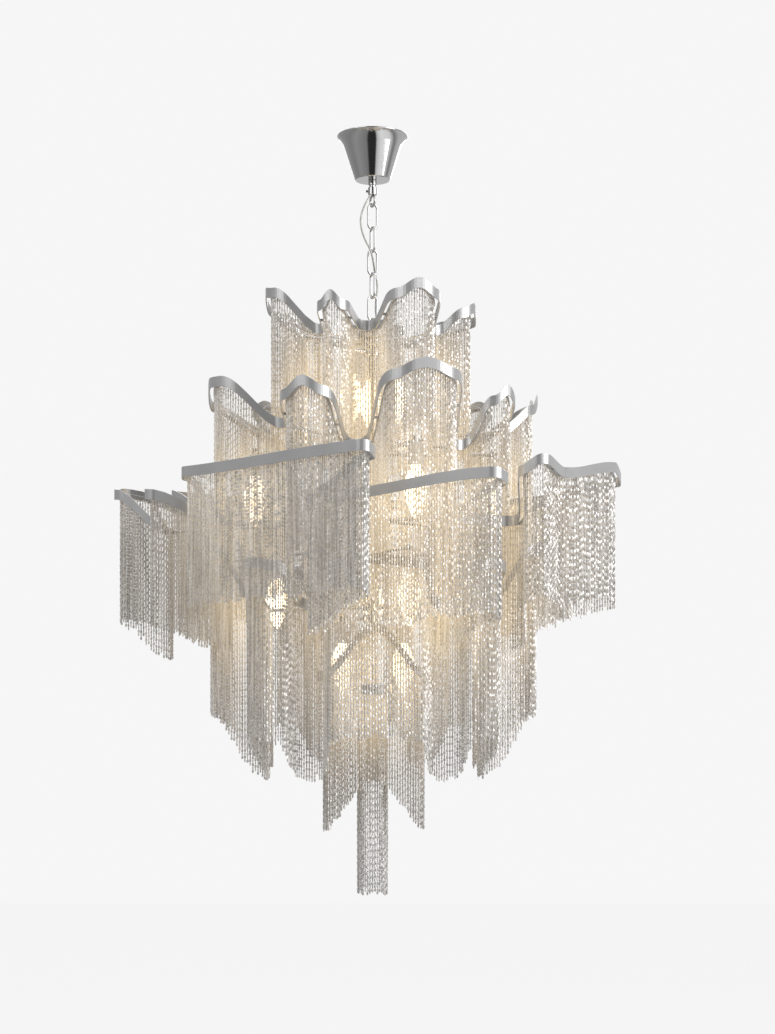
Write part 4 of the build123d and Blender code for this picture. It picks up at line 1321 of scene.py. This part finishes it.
@dataclass(frozen=True)
class Softbox:
    """An area light that points at the middle of the object: its place and size in metres, and its watts."""
    name: str
    place: Point
    size: tuple[float, float]
    power: float
    aim: Point = (0.0, 0.0, -0.65)

    def build(self) -> None:
        """Hangs the light."""
        data = bpy.data.lights.new(self.name, "AREA")
        data.shape = "RECTANGLE"
        data.size, data.size_y = self.size
        data.energy = self.power
        light = bpy.data.objects.new(self.name, data)
        light.location = self.place
        sight = Vector(self.aim) - Vector(self.place)
        light.rotation_euler = sight.to_track_quat("-Z", "Y").to_euler()
        bpy.context.scene.collection.objects.link(light)


@dataclass
class Studio:
    """The camera, the floor and the light. What polished metal mirrors is a room: the level of each stretch
    of its walls by bearing, from behind the object round by its left, the front and its right, and a pale
    ceiling that begins at a rise and is full when the sight line has risen by the fade."""
    camera_place: Point = (0.0235, -3.0, -0.8855)
    lens: float = 66.53
    rise: float = 0.177
    floor_height: float = -1.95
    floor_size: float = 14.0
    background: float = 0.921
    diffuse: float = 0.72
    ceiling: float = 0.92
    ceiling_from: float = 0.25
    ceiling_fade: float = 0.5
    walls: tuple[tuple[float, float], ...] = (
        (0.0, 0.60), (0.10, 0.34), (0.22, 0.26), (0.30, 0.34), (0.43, 0.24), (0.452, 0.03), (0.54, 0.03),
        (0.555, 0.62), (0.61, 0.95), (0.71, 0.85), (0.77, 0.22), (0.83, 0.55), (1.0, 0.60))
    softboxes: tuple[Softbox, ...] = (
        Softbox("key_light", (-2.2, -2.6, 1.2), (2.4, 2.0), 22.0),
        Softbox("fill_light", (2.8, -1.6, 0.2), (1.6, 2.4), 50.0),
        Softbox("back_light", (0.6, 2.8, 1.0), (2.6, 1.6), 26.0))

    def build(self) -> None:
        """Sets all of it up."""
        scene = bpy.context.scene
        scene.view_settings.view_transform = "Standard"
        data = bpy.data.cameras.new("camera")
        data.lens = self.lens
        data.shift_y = self.rise
        camera = bpy.data.objects.new("camera", data)
        camera.location = self.camera_place
        camera.rotation_euler = (pi / 2, 0.0, 0.0)
        scene.collection.objects.link(camera)
        scene.camera = camera
        self.floor()
        self.sky()
        for softbox in self.softboxes:
            softbox.build()

    def floor(self) -> None:
        """The pale floor, which isn't part of the object."""
        half, level = self.floor_size / 2 / MM, self.floor_height / MM
        corners = ((-half, -half, level), (half, -half, level), (half, half, level), (-half, half, level))
        mesh_piece("studio_floor", corners, ((0, 1, 2, 3),), FloorPaint("studio_floor_paint"))

    def sky(self) -> None:
        """A plain pale surround for the camera, and a studio with a dark side for polished metal."""
        world = bpy.data.worlds.new("studio")
        bpy.context.scene.world = world
        world.use_nodes = True
        bench = NodeBench(world.node_tree)
        rays = bench.add("ShaderNodeLightPath")
        way = bench.add("ShaderNodeSeparateXYZ", None, {
            "Vector": bench.add("ShaderNodeTexCoord").outputs["Generated"]})
        x, y, z = (bench.value(way, axis) for axis in ("X", "Y", "Z"))
        bearing = bench.math("ARCTAN2", x, y * -1.0) / (2 * pi) + 0.5
        stops = [(place, grey(level)) for place, level in self.walls]
        walls = bench.add("ShaderNodeValToRGB", {"stops": stops}, {"Fac": bearing})
        overhead = ((z - self.ceiling_from) / self.ceiling_fade).clamped()
        room = bench.mix(overhead, walls, grey(self.ceiling))
        lit = bench.mix(bench.value(rays, "Is Glossy Ray"), grey(self.diffuse), room)
        direct = bench.math("MAXIMUM", bench.value(rays, "Is Camera Ray"),
                            bench.value(rays, "Is Transmission Ray"))
        shown = bench.mix(direct, lit, grey(self.background))
        sky = bench.add("ShaderNodeBackground", None, {"Color": shown})
        bench.add("ShaderNodeOutputWorld", None, {"Surface": sky})


def main() -> None:
    """Builds the studio and then the object, from the cord to the fringe."""
    Studio().build()
    SupplyCord().build(ClearSleeve("clear_cord_sleeve"))
    lamps = Lamps()
    ribbon_steel = PolishedMetal("ribbon_polish", colour=grey(0.62), roughness=0.26, metallic=0.7)
    fringe = Fringe(FringeChain("fine_chain_painted_glow", lamps=lamps.glows()))
    dice = random.Random(DICE_SEED)
    for number, tier in enumerate(TIERS):
        obstacles = lamps.as_obstacles()
        for lower in TIERS[number + 1:]:
            obstacles += lower.as_obstacles()
        tier.build(fringe, ribbon_steel, obstacles, dice)
    Column().build(fringe, dice, ribbon_steel)
    Carried(chrome=PolishedMetal("chain_chrome", colour=grey(0.66), roughness=0.09),
            dark_chrome=PolishedMetal("canopy_chrome", colour=grey(0.72), roughness=0.07, smear=0.04),
            zinc=PolishedMetal("zinc_plate", colour=(0.58, 0.60, 0.62, 1.0), roughness=0.34, smear=0.2),
            steel=ribbon_steel,
            holder=MouldedPlastic("holder_white", colour=(0.78, 0.76, 0.72, 1.0)),
            bulb=LitGlass("lamp_glow"),
            terminal=MouldedPlastic("terminal_white", colour=grey(0.72))).dress()


if __name__ == "__main__":
    main()
